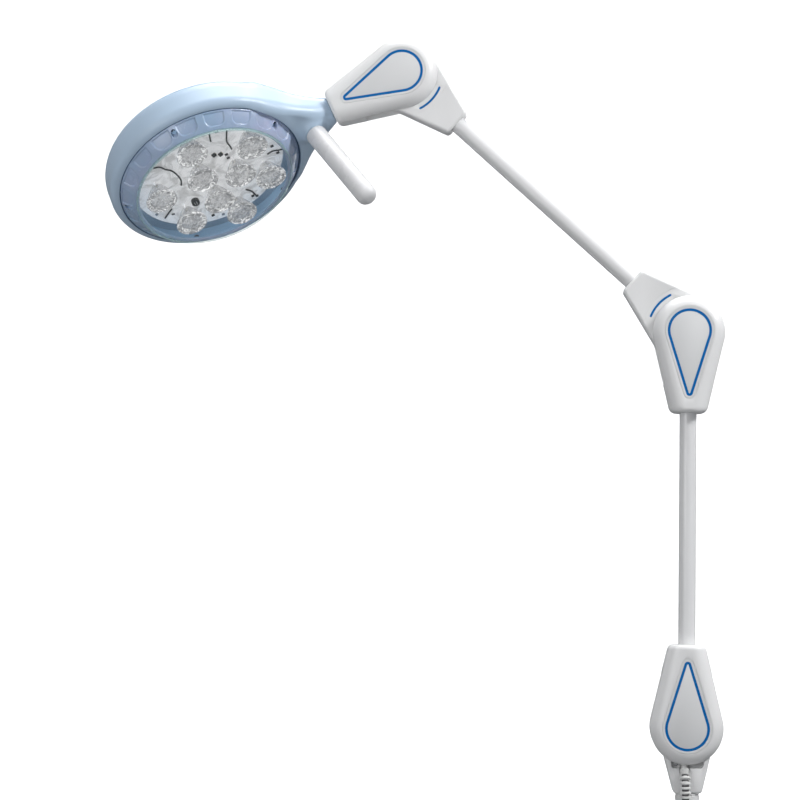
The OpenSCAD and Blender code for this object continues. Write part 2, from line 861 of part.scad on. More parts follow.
led_board();
led_chips();
lenses();
board_parts();
handle_stud();
handle();
power_button();
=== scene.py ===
import json
import math

import bmesh
import bpy
import numpy as np
from mathutils import Matrix, Vector


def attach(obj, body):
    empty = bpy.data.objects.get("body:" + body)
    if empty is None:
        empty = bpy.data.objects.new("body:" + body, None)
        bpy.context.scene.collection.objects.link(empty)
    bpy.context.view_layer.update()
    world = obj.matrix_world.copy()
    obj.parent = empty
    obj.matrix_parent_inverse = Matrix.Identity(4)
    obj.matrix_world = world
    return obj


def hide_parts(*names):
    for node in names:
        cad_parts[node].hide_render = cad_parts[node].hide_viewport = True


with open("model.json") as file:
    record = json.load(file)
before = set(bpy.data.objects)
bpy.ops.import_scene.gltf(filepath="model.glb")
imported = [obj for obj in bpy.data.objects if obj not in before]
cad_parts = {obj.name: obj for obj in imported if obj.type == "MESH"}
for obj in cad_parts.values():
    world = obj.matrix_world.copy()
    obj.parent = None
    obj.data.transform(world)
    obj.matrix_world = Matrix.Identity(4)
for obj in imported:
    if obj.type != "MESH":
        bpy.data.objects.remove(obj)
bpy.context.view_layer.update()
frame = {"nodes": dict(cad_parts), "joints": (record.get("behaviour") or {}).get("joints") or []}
nodes = frame["nodes"]
joints = {j["name"]: j for j in frame["joints"]}
MM = 0.001

# ---- places

shoulder = Vector(joints["shoulder_tilt"]["pos_m"])
elbow = Vector(joints["elbow_tilt"]["pos_m"])
wrist = Vector(joints["head_tilt"]["pos_m"])
head_axis = Vector(joints["head_roll"]["axis"]).normalized()
lit_normal = Vector(joints["power_button"]["axis"]).normalized()
FRONT = Vector((0, -1, 0))
DOWN = Vector((0, 0, -1))


def place_at(origin, x_axis, z_axis):
    """Matrix of a local frame in millimetres, with those two axes, in the row frame."""
    x_axis = x_axis.normalized()
    z_axis = (z_axis - x_axis * z_axis.dot(x_axis)).normalized()
    y_axis = z_axis.cross(x_axis)
    turn = Matrix((x_axis, y_axis, z_axis)).transposed().to_4x4()
    return Matrix.Translation(origin) @ turn @ Matrix.Scale(MM, 4)


def shift(place, x, y=0.0, z=0.0):
    """The same frame, moved along its own axes."""
    return place @ Matrix.Translation((x, y, z))


lower_dir = (elbow - shoulder).normalized()
upper_dir = (wrist - elbow).normalized()
arm_length = (elbow - shoulder).length / MM
AT_ROW = Matrix.Scale(MM, 4)
AT_BASE = place_at(shoulder, DOWN, FRONT)
AT_SHOULDER = place_at(shoulder, lower_dir, FRONT)
AT_ELBOW_FORK = place_at(elbow, -lower_dir, FRONT)
AT_ELBOW_BRACKET = place_at(elbow, upper_dir, FRONT)
AT_WRIST_BRACKET = place_at(wrist, -upper_dir, FRONT)
AT_WRIST = place_at(wrist, head_axis, FRONT)
AT_HEAD = place_at(wrist, head_axis, lit_normal)
DISC_REACH = 261
HANDLE_S, HANDLE_Z, HANDLE_LEAN = 125, 22, 12
AT_DISC = shift(AT_HEAD, DISC_REACH)
AT_HANDLE = shift(AT_HEAD, HANDLE_S, 0, HANDLE_Z) @ Matrix.Rotation(math.radians(-HANDLE_LEAN), 4, "Y")

# ---- camera



def new_object(name, data):
    """An object in the scene, for a mesh, a light or a camera."""
    made = bpy.data.objects.new(name, data)
    bpy.context.scene.collection.objects.link(made)
    return made


camera = new_object("camera", bpy.data.cameras.new("camera"))
camera.location = (-0.1341, -2.3661, 0.3945)
camera.rotation_euler = (math.radians(90 + 4.22), math.radians(0.06), math.radians(4.8))
camera.data.sensor_width = 36
camera.data.lens = 90.25
camera.data.clip_end = 50
bpy.context.scene.camera = camera

# ---- materials


def map_range(tree, source, start, end, low, high):
    """Output of a node that maps start to end onto low to high."""
    made = tree.nodes.new("ShaderNodeMapRange")
    for key, value in (("From Min", start), ("From Max", end), ("To Min", low), ("To Max", high)):
        made.inputs[key].default_value = value
    tree.links.new(source, made.inputs["Value"])
    return made.outputs["Result"]


class Shader:
    """A Principled material and short calls for the nodes that vary it."""

    def __init__(self, name, color, roughness=0.4, metallic=0.0, **sockets):
        self.material = bpy.data.materials.new(name)
        self.material.use_nodes = True
        self.tree = self.material.node_tree
        self.bsdf = self.tree.nodes["Principled BSDF"]
        self.bsdf.inputs["Base Color"].default_value = (*color, 1)
        self.bsdf.inputs["Roughness"].default_value = roughness
        self.bsdf.inputs["Metallic"].default_value = metallic
        for socket, value in sockets.items():
            self.bsdf.inputs[socket.replace("_", " ")].default_value = value
        coords = self.tree.nodes.new("ShaderNodeTexCoord")
        self.coords = coords.outputs["Object"]

    def node(self, kind, **settings):
        made = self.tree.nodes.new(kind)
        for key, value in settings.items():
            if key in made.inputs:
                made.inputs[key].default_value = value
            else:
                setattr(made, key, value)
        return made

    def link(self, out, socket):
        self.tree.links.new(out, socket)

    def noise(self, scale, detail=3.0, stretch=None):
        made = self.node("ShaderNodeTexNoise", Scale=scale, Detail=detail)
        source = self.coords
        if stretch is not None:
            mapping = self.node("ShaderNodeMapping", Scale=stretch)
            self.link(source, mapping.inputs["Vector"])
            source = mapping.outputs["Vector"]
        self.link(source, made.inputs["Vector"])
        return made.outputs["Fac"]

    def ramp(self, fac, low, high, start=0.35, end=0.65):
        return map_range(self.tree, fac, start, end, low, high)

    def color(self, fac, low, high, start=0.35, end=0.65):
        made = self.node("ShaderNodeMix", data_type="RGBA")
        made.inputs["A"].default_value = (*low, 1)
        made.inputs["B"].default_value = (*high, 1)
        self.link(self.ramp(fac, 0, 1, start, end), made.inputs["Factor"])
        self.link(made.outputs["Result"], self.bsdf.inputs["Base Color"])
        return made.outputs["Result"]

    def rough(self, fac, low, high):
        self.link(self.ramp(fac, low, high), self.bsdf.inputs["Roughness"])

    def bump(self, fac, distance, strength=0.5):
        made = self.node("ShaderNodeBump", Distance=distance, Strength=strength)
        self.link(fac, made.inputs["Height"])
        self.link(made.outputs["Normal"], self.bsdf.inputs["Normal"])


def surface(name, color, tone=None, gloss=None, grain=None, **sockets):
    """A material with noise in its colour, roughness and bump, each as (scale, detail, low, high);
    for the bump the last two are distance and strength."""
    made = Shader(name, color, **sockets)
    for values, apply in ((tone, made.color), (gloss, made.rough), (grain, made.bump)):
        if values:
            apply(made.noise(*values[:2]), *values[2:])
    return made.material


def plastic(name, color, spread=0.02, roughness=(0.28, 0.36), grain=0.00003, **sockets):
    """Moulded plastic: faint tone changes, a fine spark-eroded grain and uneven gloss."""
    low = [max(0, c - spread) for c in color]
    high = [min(1, c + spread) for c in color]
    return surface(name, color, (9, 4, low, high), (60, 3, *roughness), (1400, 2, grain, 0.4), **sockets)


def paint(name, color, roughness=(0.2, 0.27)):
    """Powder coat: faint orange peel under a smooth gloss."""
    return surface(name, color, (14, 3, [c * 0.97 for c in color], color), (40, 3, *roughness),
                   (420, 2, 0.00004, 0.3), Coat_Weight=0.3, Coat_Roughness=0.12)


def metal(name, color, roughness=(0.22, 0.38), grain=(1, 1, 12)):
    """Turned or rolled metal with fine lines along its grain."""
    made = Shader(name, color, metallic=1.0)
    lines = made.noise(260, 4, grain)
    made.color(lines, [c * 0.8 for c in color], color)
    made.rough(lines, *roughness)
    made.bump(lines, 0.00002, 0.4)
    return made.material


WHITE_SHELL = plastic("white_shell", (0.79, 0.79, 0.79), 0.012, (0.3, 0.38))
GREY_PLATE = plastic("grey_plate", (0.70, 0.705, 0.71), 0.012, (0.36, 0.44), 0.00005)
BLUE_LINE = plastic("blue_line", (0.004, 0.135, 0.42), 0.004, (0.55, 0.65), Specular_IOR_Level=0.15)
TUBE_PAINT = paint("tube_paint", (0.78, 0.78, 0.785))
POST_PAINT = paint("post_paint", (0.76, 0.76, 0.755), (0.25, 0.33))
HANDLE_WHITE = plastic("handle_white", (0.70, 0.70, 0.71), 0.012, (0.24, 0.32))
STEEL = metal("steel", (0.56, 0.56, 0.57))
DARK_ZINC = metal("dark_zinc", (0.2, 0.2, 0.22), (0.3, 0.45))
BRONZE = metal("bush_bronze", (0.52, 0.36, 0.18), (0.35, 0.5))
NICKEL = metal("nickel_brass", (0.72, 0.66, 0.5), (0.15, 0.3))
ALUMINIUM = metal("aluminium", (0.7, 0.71, 0.73), (0.3, 0.45), (1, 14, 1))
LINING = plastic("friction_lining", (0.035, 0.035, 0.04), 0.012, (0.7, 0.85), 0.0001)
TIE_BLACK = plastic("tie_black", (0.03, 0.03, 0.032), 0.01, (0.5, 0.6))
# the skirt's faint emission is painted light that lifts its shaded blue
SKIRT_BLUE = plastic("skirt_blue", (0.30, 0.46, 0.63), 0.02, (0.35, 0.5), Emission_Strength=0.12,
                     Emission_Color=(0.30, 0.50, 0.72, 1))
GASKET_NAVY = plastic("gasket_navy", (0.05, 0.10, 0.19), 0.01, (0.4, 0.55))
BUTTON_GREY = plastic("button_grey", (0.20, 0.22, 0.25), 0.015, (0.55, 0.65), 0.00008)
PLUG_WHITE = plastic("plug_white", (0.74, 0.74, 0.73), 0.02, (0.5, 0.6), 0.0001)
# dark grey that stands for the shade deep in the relief's slits: painted shade
SLIT_PAINTED_SHADE = plastic("slit_painted_shade", (0.10, 0.10, 0.10), 0.02, (0.6, 0.7))
PART_BLACK = plastic("part_black", (0.012, 0.012, 0.014), 0.006, (0.4, 0.5))
CHIP_YELLOW = plastic("chip_yellow", (0.80, 0.70, 0.22), 0.05, (0.45, 0.6))
HEAD_SHELL = plastic("head_shell", (0.44, 0.565, 0.705), 0.008, (0.3, 0.38))


def lens_acrylic(name, alpha, low, high, start, end, glint_glow, pebble):
    """Clear acrylic with painted grey shade and painted bright glints that glow, and a pebbled surface."""
    made = Shader(name, high, Alpha=alpha, IOR=1.5, Coat_Weight=1.0, Coat_Roughness=0.03,
                  Emission_Strength=glint_glow)
    # this noise paints grey shade and white glints into the lens colour, and makes the glints glow
    painted_glint = made.node("ShaderNodeTexNoise", Scale=105, Detail=7, Distortion=3.5)
    made.link(made.coords, painted_glint.inputs["Vector"])
    made.color(painted_glint.outputs["Fac"], low, high, start, end)
    made.link(made.ramp(painted_glint.outputs["Fac"], 0, 1, start + 0.04, end), made.bsdf.inputs["Emission Color"])
    made.rough(made.noise(120, 3), 0.05, 0.28)
    cells = made.node("ShaderNodeTexVoronoi", Scale=260)
    made.link(made.coords, cells.inputs["Vector"])
    made.bump(cells.outputs["Distance"], pebble, 1.0)
    return made.material


def board_silver():
    """Board under a reflective film: bright grey with painted reflections as dark smudges and fine swirls,
    and a faint painted glow.
    """
    # the board's faint white emission is painted light
    made = Shader("board_silver", (0.8, 0.8, 0.81), Coat_Weight=0.5, Coat_Roughness=0.1,
                  Emission_Strength=0.3, Emission_Color=(1, 1, 1, 1))
    painted_reflection = made.node("ShaderNodeTexNoise", Scale=38, Detail=7, Distortion=1.6)
    made.link(made.coords, painted_reflection.inputs["Vector"])
    made.color(painted_reflection.outputs["Fac"], (0.40, 0.40, 0.405), (0.97, 0.97, 0.975), 0.38, 0.54)
    made.rough(made.noise(70, 3), 0.25, 0.5)
    made.bump(made.noise(240, 4), 0.0004, 0.8)
    return made.material


# soft vinyl, slightly mottled, with a faint drawn grain
CABLE_SHEATH = surface("cable_sheath", (0.72, 0.72, 0.71), (35, 4, (0.68, 0.68, 0.67), (0.76, 0.76, 0.75)),
                       (90, 3, 0.45, 0.6), (500, 3, 0.00006, 0.4), Sheen_Weight=0.15)
# translucent blue-grey moulding with faint violet stress colours
RING_PLASTIC = surface("ring_plastic", (0.5, 0.57, 0.7), (12, 3, (0.31, 0.45, 0.62), (0.43, 0.49, 0.67)),
                       (50, 3, 0.2, 0.3), (300, 2, 0.00005, 0.3), Alpha=0.94, Coat_Weight=0.25,
                       Coat_Roughness=0.1, Subsurface_Weight=0.15, Subsurface_Radius=(0.002, 0.003, 0.005))
# clear pane that lets the light of the room in, and its polished, green-tinted edge
WINDOW_CLEAR = surface("window_clear", (0.80, 0.90, 0.90), None, (25, 3, 0.02, 0.06),
                       (90, 2, 0.00002, 0.2), Alpha=0.06, IOR=1.5)
WINDOW_EDGE = surface("window_edge", (0.50, 0.74, 0.74), None, (60, 3, 0.05, 0.15), Alpha=0.3,
                      Coat_Weight=0.4)
WIRE_DARK = plastic("wire_dark", (0.016, 0.017, 0.02), 0.015, (0.35, 0.45))
HEAD_COVER = plastic("head_cover", (0.42, 0.54, 0.68), 0.015, (0.3, 0.4))
# lens colours run from painted grey shade to painted white glints, which glow
LENS_FACE = lens_acrylic("lens_face", 0.3, (0.66, 0.66, 0.67), (1, 1, 1), 0.4, 0.58, 0.3, 0.0005)
LENS_RIM = lens_acrylic("lens_rim", 0.6, (0.52, 0.52, 0.53), (1, 1, 1), 0.46, 0.6, 0.65, 0.0014)
LENS_WALL = lens_acrylic("lens_wall", 0.3, (0.60, 0.60, 0.61), (0.98, 0.98, 0.98), 0.42, 0.58, 0.2, 0.0004)
BOARD_SILVER = board_silver()

# ---- mesh tools


def piece(name, verts, faces, place, material, sharp=35):
    """A new object from local points in millimetres, smooth apart from edges over that angle."""
    mesh = bpy.data.meshes.new(name)
    mesh.from_pydata([place @ Vector(v) for v in verts], [], faces)
    mesh.materials.append(material)
    made = new_object(name, mesh)
    finish_mesh(made, sharp)
    return made


def finish_mesh(made, sharp=35):
    """Merges doubled points, turns faces outward and marks the sharp edges."""
    bm = bmesh.new()
    bm.from_mesh(made.data)
    bmesh.ops.remove_doubles(bm, verts=bm.verts, dist=1e-6)
    bmesh.ops.recalc_face_normals(bm, faces=bm.faces)
    for face in bm.faces:
        face.smooth = True
    for edge in bm.edges:
        if len(edge.link_faces) == 2 and edge.calc_face_angle(0) > math.radians(sharp):
            edge.smooth = False
    bm.to_mesh(made.data)
    bm.free()


def loft(rings, caps=True):
    """Points and faces of a skin over rings of equal count, with flat caps."""
    count = len(rings[0])
    verts = [v for ring in rings for v in ring]
    faces = []
    for i in range(len(rings) - 1):
        for k in range(count):
            after = (k + 1) % count
            faces.append((i * count + k, i * count + after, (i + 1) * count + after, (i + 1) * count + k))
    if caps:
        faces.append(tuple(range(count))[::-1])
        last = (len(rings) - 1) * count
        faces.append(tuple(range(last, last + count)))
    return verts, faces


def lathe(profile, steps=96, axis="z"):
    """Points and faces of a closed profile of (radius, height), or a function of the angle that
    gives it, turned about an axis."""
    verts = []
    for k in range(steps):
        angle = 2 * math.pi * k / steps
        line = profile(angle) if callable(profile) else profile
        for r, h in line:
            x, y = r * math.cos(angle), r * math.sin(angle)
            verts.append((h, x, y) if axis == "x" else (x, y, h))
    n = len(line)
    faces = []
    for k in range(steps):
        after = (k + 1) % steps
        for i in range(n):
            j = (i + 1) % n
            faces.append((k * n + i, k * n + j, after * n + j, after * n + i))
    return verts, faces


def rounded(points, steps=5):
    """A profile with some corners rounded: each point is (r, h) or (r, h, corner radius)."""
    out = []
    n = len(points)
    for i, point in enumerate(points):
        if len(point) == 2:
            out.append(tuple(point))
            continue
        here = Vector(point[:2])
        before = (Vector(points[i - 1][:2]) - here).normalized()
        after = (Vector(points[(i + 1) % n][:2]) - here).normalized()
        half = before.angle(after) / 2
        reach = point[2] / math.tan(half)
        centre = here + (before + after).normalized() * (point[2] / math.sin(half))
        a, b = here + before * reach - centre, here + after * reach - centre
        turn = math.atan2(a.cross(b), a.dot(b))
        start = math.atan2(a.y, a.x)
        for s in range(steps + 1):
            angle = start + turn * s / steps
            out.append((centre.x + point[2] * math.cos(angle), centre.y + point[2] * math.sin(angle)))
    return out


def turned(name, profile, place, material, steps=96, sharp=35):
    """A piece turned about its local z axis from a profile with rounded corners."""
    return piece(name, *lathe(rounded(profile), steps), place, material, sharp)


def ease(t):
    """0 up to 0 and 1 from 1 on, with a soft rise between."""
    t = min(1.0, max(0.0, t))
    return t * t * (3 - 2 * t)


def polar(r, turn, x=0, y=0):
    """Point at a distance and an angle in degrees from another."""
    a = math.radians(turn)
    return x + r * math.cos(a), y + r * math.sin(a)


def arc(cx, cy, r, start, end, steps):
    """Points of an arc, angles in degrees, both ends included."""
    return [polar(r, start + (end - start) * i / steps, cx, cy) for i in range(steps + 1)]


def drop_outline(r1, d, r2, round_steps=64, tip_steps=16):
    """Flat drop with its round end at the origin and its tip on +x."""
    lean = math.degrees(math.acos((r1 - r2) / d))
    return arc(0, 0, r1, lean, 360 - lean, round_steps) + arc(d, 0, r2, -lean, lean, tip_steps)


def taper_outline(r, taper, reach, corner):
    """Round end at the origin, straight sides that close in, and a flat end with round corners."""
    t = math.radians(taper)
    x = reach - corner
    y = (r - corner - x * math.sin(t)) / math.cos(t)
    upper = arc(x, y, corner, 0, 90 - taper, 6)
    lower = arc(x, -y, corner, taper - 90, 0, 6)
    end = [(reach, -y * 0.5), (reach, 0), (reach, y * 0.5)]
    return upper + arc(0, 0, r, 90 - taper, 270 + taper, 72) + lower + end


def pillow_rings(r, taper, reach, depth, edge, end_edge, corner, start):
    """Rings of a tapered shape from start up to depth, its sides and its end rounded over."""
    heights = [(start, 0.0)]
    for i in range(15):
        angle = math.radians(90 * i / 14)
        heights.append((depth - edge + edge * math.sin(angle), edge * (1 - math.cos(angle))))
    rings = []
    for z, side in heights:
        over = max(0.0, z - (depth - end_edge)) / end_edge
        end = end_edge * (1 - math.sqrt(max(0.0, 1 - over * over)))
        outline = taper_outline(r - side, taper, reach - end, max(1.0, corner - end * 0.5))
        rings.append([(x, y, z) for x, y in outline])
    return rings


def around(r, steps, at=(0, 0)):
    """Points of a whole circle."""
    angles = [2 * math.pi * k / steps for k in range(steps)]
    return [(at[0] + r * math.cos(a), at[1] + r * math.sin(a)) for a in angles]


def prism(outline, low, high):
    """Points and faces of a flat outline between two heights."""
    return loft([[(x, y, low) for x, y in outline], [(x, y, high) for x, y in outline]])


def box_mesh(low, high):
    """Points and faces of a box between two corners."""
    (x0, y0, z0), (x1, y1, z1) = low, high
    return prism([(x0, y0), (x1, y0), (x1, y1), (x0, y1)], z0, z1)


def rod_mesh(x0, x1, r, steps=64):
    """Solid cylinder along x."""
    return loft([[(x, y, z) for y, z in around(r, steps)] for x in (x0, x1)])


def pin_mesh(z0, z1, r, steps=48, at=(0, 0)):
    """Solid cylinder along z."""
    return prism(around(r, steps, at), z0, z1)


def cut(made, place, *solids, bevel=0.35, sharp=35):
    """Takes solids in the local frame off a piece, then breaks the new sharp edges."""
    cutters = []
    for verts, faces in solids:
        cutter = piece(made.name + "_cut", verts, faces, place, made.data.materials[0])
        mod = made.modifiers.new("cut", "BOOLEAN")
        mod.operation = "DIFFERENCE"
        mod.solver = "EXACT"
        mod.object = cutter
        cutters.append(cutter)
    if bevel:
        soften = made.modifiers.new("soften", "BEVEL")
        soften.width = bevel * MM
        soften.segments = 2
        soften.limit_method = "ANGLE"
        soften.angle_limit = math.radians(40)
        soften.use_clamp_overlap = True
    bake(made)
    for cutter in cutters:
        bpy.data.objects.remove(cutter)
    finish_mesh(made, sharp)
    return made


def bake(made):
    """Replaces a piece's mesh by what its modifiers make of it."""
    bpy.context.view_layer.update()
    dg = bpy.context.evaluated_depsgraph_get()
    mesh = bpy.data.meshes.new_from_object(made.evaluated_get(dg))
    old = made.data
    made.modifiers.clear()
    made.data = mesh
    bpy.data.meshes.remove(old)


def join(name, parts):
    """One object from several, keeping their materials."""
    bm = bmesh.new()
    materials = []
    for part in parts:
        offset = len(bm.faces)
        bm.from_mesh(part.data)
        bm.faces.ensure_lookup_table()
        for face in bm.faces[offset:]:
            material = part.data.materials[face.material_index]
            if material not in materials:
                materials.append(material)
            face.material_index = materials.index(material)
    mesh = bpy.data.meshes.new(name)
    bm.to_mesh(mesh)
    bm.free()
    for material in materials:
        mesh.materials.append(material)
    for part in parts:
        bpy.data.objects.remove(part)
    return new_object(name, mesh)


def fit(made, body, slot, *replaced):
    """Puts a piece on its body and hides the CAD nodes that it stands for; its slot is not used."""
    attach(made, body)
    if replaced:
        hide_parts(*replaced)
    return made


def sweep(points, radii, sides=16, place=AT_ROW, name="sweep", material=None, sharp=50):
    """A round rod along a line of points, with a radius for each."""
    points = [Vector(p) for p in points]
    up = Vector((0, 1, 0.001))
    rings = []
    for i, p in enumerate(points):
        along = (points[min(i + 1, len(points) - 1)] - points[max(i - 1, 0)]).normalized()
        side = (up - along * up.dot(along)).normalized()
        other = along.cross(side)
        up = side
        rings.append([p + radii[i] * (c * side + s * other) for c, s in around(1, sides)])
    return piece(name, *loft(rings), place, material, sharp)


def smooth_line(points, steps):
    """Points along a smooth curve through given ones."""
    points = [Vector(p) for p in points]
    ends = [points[0] * 2 - points[1]] + points + [points[-1] * 2 - points[-2]]
    out = []
    for i in range(len(points) - 1):
        a, b, c, d = ends[i:i + 4]
        for s in range(steps):
            t = s / steps
            out.append(0.5 * (2 * b + (c - a) * t + (2 * a - 5 * b + 4 * c - d) * t ** 2
                              + (3 * b - a - 3 * c + d) * t ** 3))
    return out + [points[-1]]


# ---- supply cable

CABLE_D = 7
COIL_CENTRE = Vector((8, -43, -112))
COIL_R = 42
COIL_TURNS = 4
PLUG_TOP = -178
CABLE_EXIT = (-3, -21.6, 87)
cable_route = [
    CABLE_EXIT, (-3, -22, 78), (-3.5, -22.5, 68), (-4.5, -23.5, 56), (-6, -25, 44),
    (-8.5, -26.5, 32), (-11.5, -28, 20), (-15, -29.5, 7), (-19, -31, -6), (-23.5, -32.5, -20),
    (-28, -34, -34), (-33, -35.5, -48), (-37.5, -37, -62), (-41.5, -38, -76), (-44.5, -39, -88),
    (-46.5, -39.5, -99)
]


def coil_points():
    """Turns that wind inwards in the rear layer and back out in the front one, from and to the left."""
    outer = COIL_R + COIL_TURNS * CABLE_D / 2
    per_turn = 48
    step_over = 0.11
    out = []
    for i in range(2 * COIL_TURNS * per_turn + 1):
        turn = i / per_turn
        r = outer - CABLE_D * (turn if turn < COIL_TURNS else 2 * COIL_TURNS - turn)
        over = ease((turn - COIL_TURNS) / step_over)
        angle = math.pi + 2 * math.pi * turn
        y = COIL_CENTRE.y + CABLE_D * (0.5 - over)
        out.append(Vector((COIL_CENTRE.x + r * math.cos(angle), y, COIL_CENTRE.z + r * math.sin(angle))))
    return out


def supply_cable():
    """The whole cable on one line: down beside the post, round the coil and down to its plug."""
    coil = coil_points()
    tail_x, tail_y = coil[-1].x, coil[-1].y
    tail = [(tail_x, tail_y, z) for z in (-124, -136, -148, -160, PLUG_TOP - 2)]
    above = smooth_line(cable_route + [tuple(coil[0])], 4)
    below = smooth_line([tuple(coil[-1])] + tail, 4)
    line = above[:-1] + coil + below[1:]
    made = sweep(line, [CABLE_D / 2] * len(line), 20, name="supply_cable", material=CABLE_SHEATH)
    return made, [p * MM for p in line]


cable, cable_line = supply_cable()
fit(cable, "base", "cable_white", "cable", "cable_coil")

# ---- cable fittings

RELIEF_W = -3
BEND_U, BEND_Z, BEND_R = 64.4, 7.0, 14.6
SLOPE_TOP = 132
SLOPE = math.radians(SLOPE_TOP)
TOP_U, TOP_Z = BEND_U + BEND_R * math.cos(SLOPE), BEND_Z + BEND_R * math.sin(SLOPE)
CORE_R, RIB_PITCH, SLIT_HALF = 4.4, 5.2, 1.05
PLUG_X, PLUG_Y = -48, -46.5
PLUG_LENGTH, PIN_SPREAD = 38, 9.5


def pulse(t, start, end, soft=0.35):
    """1 between start and end, 0 outside, with soft shoulders."""
    return ease((t - start) / soft) * ease((end - t) / soft)


def cable_relief():
    """Ribbed sleeve: slants out of the bracket's pocket, bends and runs down in front of the post."""
    slant, bend, straight = 17.5, BEND_R * math.radians(SLOPE_TOP - 90), 35.6

    def along(t):
        """Middle of the sleeve t mm past the start of its bend, and the angle its front faces."""
        if t < 0:
            return (TOP_U + math.sin(SLOPE) * t, RELIEF_W, TOP_Z - math.cos(SLOPE) * t), SLOPE
        if t < bend:
            angle = SLOPE - t / BEND_R
            return (BEND_U + BEND_R * math.cos(angle), RELIEF_W, BEND_Z + BEND_R * math.sin(angle)), angle
        return (BEND_U + t - bend, RELIEF_W, BEND_Z + BEND_R), math.pi / 2

    gaps = [0.5 + RIB_PITCH * k for k in range(8)]
    points, radii = [], []
    for i in range(int((slant + bend + straight) / 0.22) + 1):
        t = i * 0.22 - slant
        if t < 0:
            rib = max(pulse(-t, k, k + 1.2) for k in (0.8, 2.6, 4.4, 6.2, 8.0))
            r = 4.6 + 1.1 * rib if t > -10.2 else 3.8
        else:
            rib = max(pulse(t, k + 1.3, k + 3.9, 0.5) for k in gaps)
            r = CORE_R + 2.0 * rib - max(0, t - bend - 31.6) / 8
        points.append(along(t)[0])
        radii.append(r)
    parts = [sweep(points, radii, 28, AT_BASE, "sleeve", PLUG_WHITE)]
    # thin dark grey pieces in the gaps between the ribs are painted shade for the deep slits
    for t in gaps:
        middle, angle = along(t)
        here = shift(AT_BASE, *middle) @ Matrix.Rotation(math.pi / 2 - angle, 4, "Y")
        outline = arc(0, 0, 4.75, 32, 148, 18) + arc(0, 0, 4.0, 148, 32, 18)
        ends = [[(x, y, z) for y, z in outline] for x in (-SLIT_HALF, SLIT_HALF)]
        parts.append(piece("slit", *loft(ends), here, SLIT_PAINTED_SHADE))
    return join("cable_relief", parts)


def coil_strap():
    """Rubber strap round the top of the coil, with a small buckle."""
    place = place_at((COIL_CENTRE + Vector((0, 0, COIL_R))) * MM, Vector((0, 0, 1)), Vector((1, 0, 0)))
    corners = [(17.9, 7.4), (-17.9, 7.4), (-17.9, -7.4), (17.9, -7.4)]
    inner = rounded([(x, y, 2.2) for x, y in corners], 6)
    outer = rounded([(x * 1.062, y * 1.15, 3.2) for x, y in corners], 6)
    strap = piece("strap", *band(outer, inner, -4, 4), place, TIE_BLACK)
    buckle = piece("buckle", *box_mesh((-4, 7.4, -5), (4, 8.6, 5)), place, TIE_BLACK)
    cut(buckle, place, box_mesh((-2.5, 8.1, -6), (2.5, 9.6, -2.5)), bevel=0.3)
    return join("coil_strap", [strap, buckle])


def band(outer, inner, low, high):
    """Closed band between two outlines of equal count."""
    corners = ((outer, low), (outer, high), (inner, high), (inner, low), (outer, low))
    return loft([[(x, y, z) for x, y in line] for line, z in corners], caps=False)


def mains_plug():
    """Generic two-pin plug: ribbed neck, waisted grip with ridges and a flat face."""
    place = Matrix.Translation(Vector((PLUG_X, PLUG_Y, PLUG_TOP)) * MM) @ AT_ROW
    rings = []
    for i in range(153):
        z = -i * 0.25
        if z > -16:
            wide = deep = 4.6 + 0.18 * -z + 0.7 * pulse(-z % 3.2, 0.6, 2.4, 0.5)
        else:
            t = ease((-z - 16) / 6)
            ridge = 0.45 * pulse((-z - 24) % 2.4, 0.4, 1.6, 0.4) if -34 < z < -24 else 0
            wide, deep = 7.6 + 9.1 * t - ridge, 7.6 + 3.2 * t - ridge
        end = max(0.0, -z - 36.4) / 1.6
        shrink = 1.6 * (1 - math.sqrt(max(0.0, 1 - end * end)))
        rings.append([oval(wide - shrink, deep - shrink, 2 * math.pi * k / 56, z) for k in range(56)])
    return piece("mains_plug", *loft(rings), place, PLUG_WHITE, 50)


def oval(wide, deep, angle, z):
    """Point of a slightly squared oval."""
    c, s = math.cos(angle), math.sin(angle)
    return (wide * math.copysign(abs(c) ** 0.8, c), deep * math.copysign(abs(s) ** 0.8, s), z)


def mains_pins():
    """Two round pins with insulated roots."""
    parts = []
    pin = [(0, -18.8), (1.7, -18.8, 0.9), (2.3, -17.2, 0.8), (2.3, 1), (0, 1)]
    sleeve = [(2.25, -9), (2.38, -8.8), (2.38, 0.1), (2.25, 0.1)]
    for x in (-PIN_SPREAD, PIN_SPREAD):
        place = Matrix.Translation(Vector((PLUG_X + x, PLUG_Y, PLUG_TOP - PLUG_LENGTH)) * MM) @ AT_ROW
        parts.append(turned("pin", pin, place, NICKEL, 32))
        parts.append(turned("sleeve", sleeve, place, PART_BLACK, 32))
    return join("mains_pins", parts)


fit(cable_relief(), "base", "plug_white", "strain_relief")
fit(coil_strap(), "base", "tie_black", "coil_tie")
fit(mains_plug(), "base", "plug_white", "power_plug")
fit(mains_pins(), "base", "pin_metal", "plug_pins")

# ---- knuckles

FORK_R, FORK_TAPER, FORK_REACH, FORK_HALF = 42.6, 13.4, 95.3, 25
SLOT_HALF, WEB_START = 12.8, 62
PLATE_FLOOR, PLATE_TOP = 23.4, 24.9
LINE_TIP = 72.8
SCREW_U, SCREW_W = 74, 17
CHEEK_BORE, COLLAR_BORE, PIN_BORE = 10.12, 12.05, 8.05
FLIP = Matrix.Scale(-1, 4, (0, 0, 1))


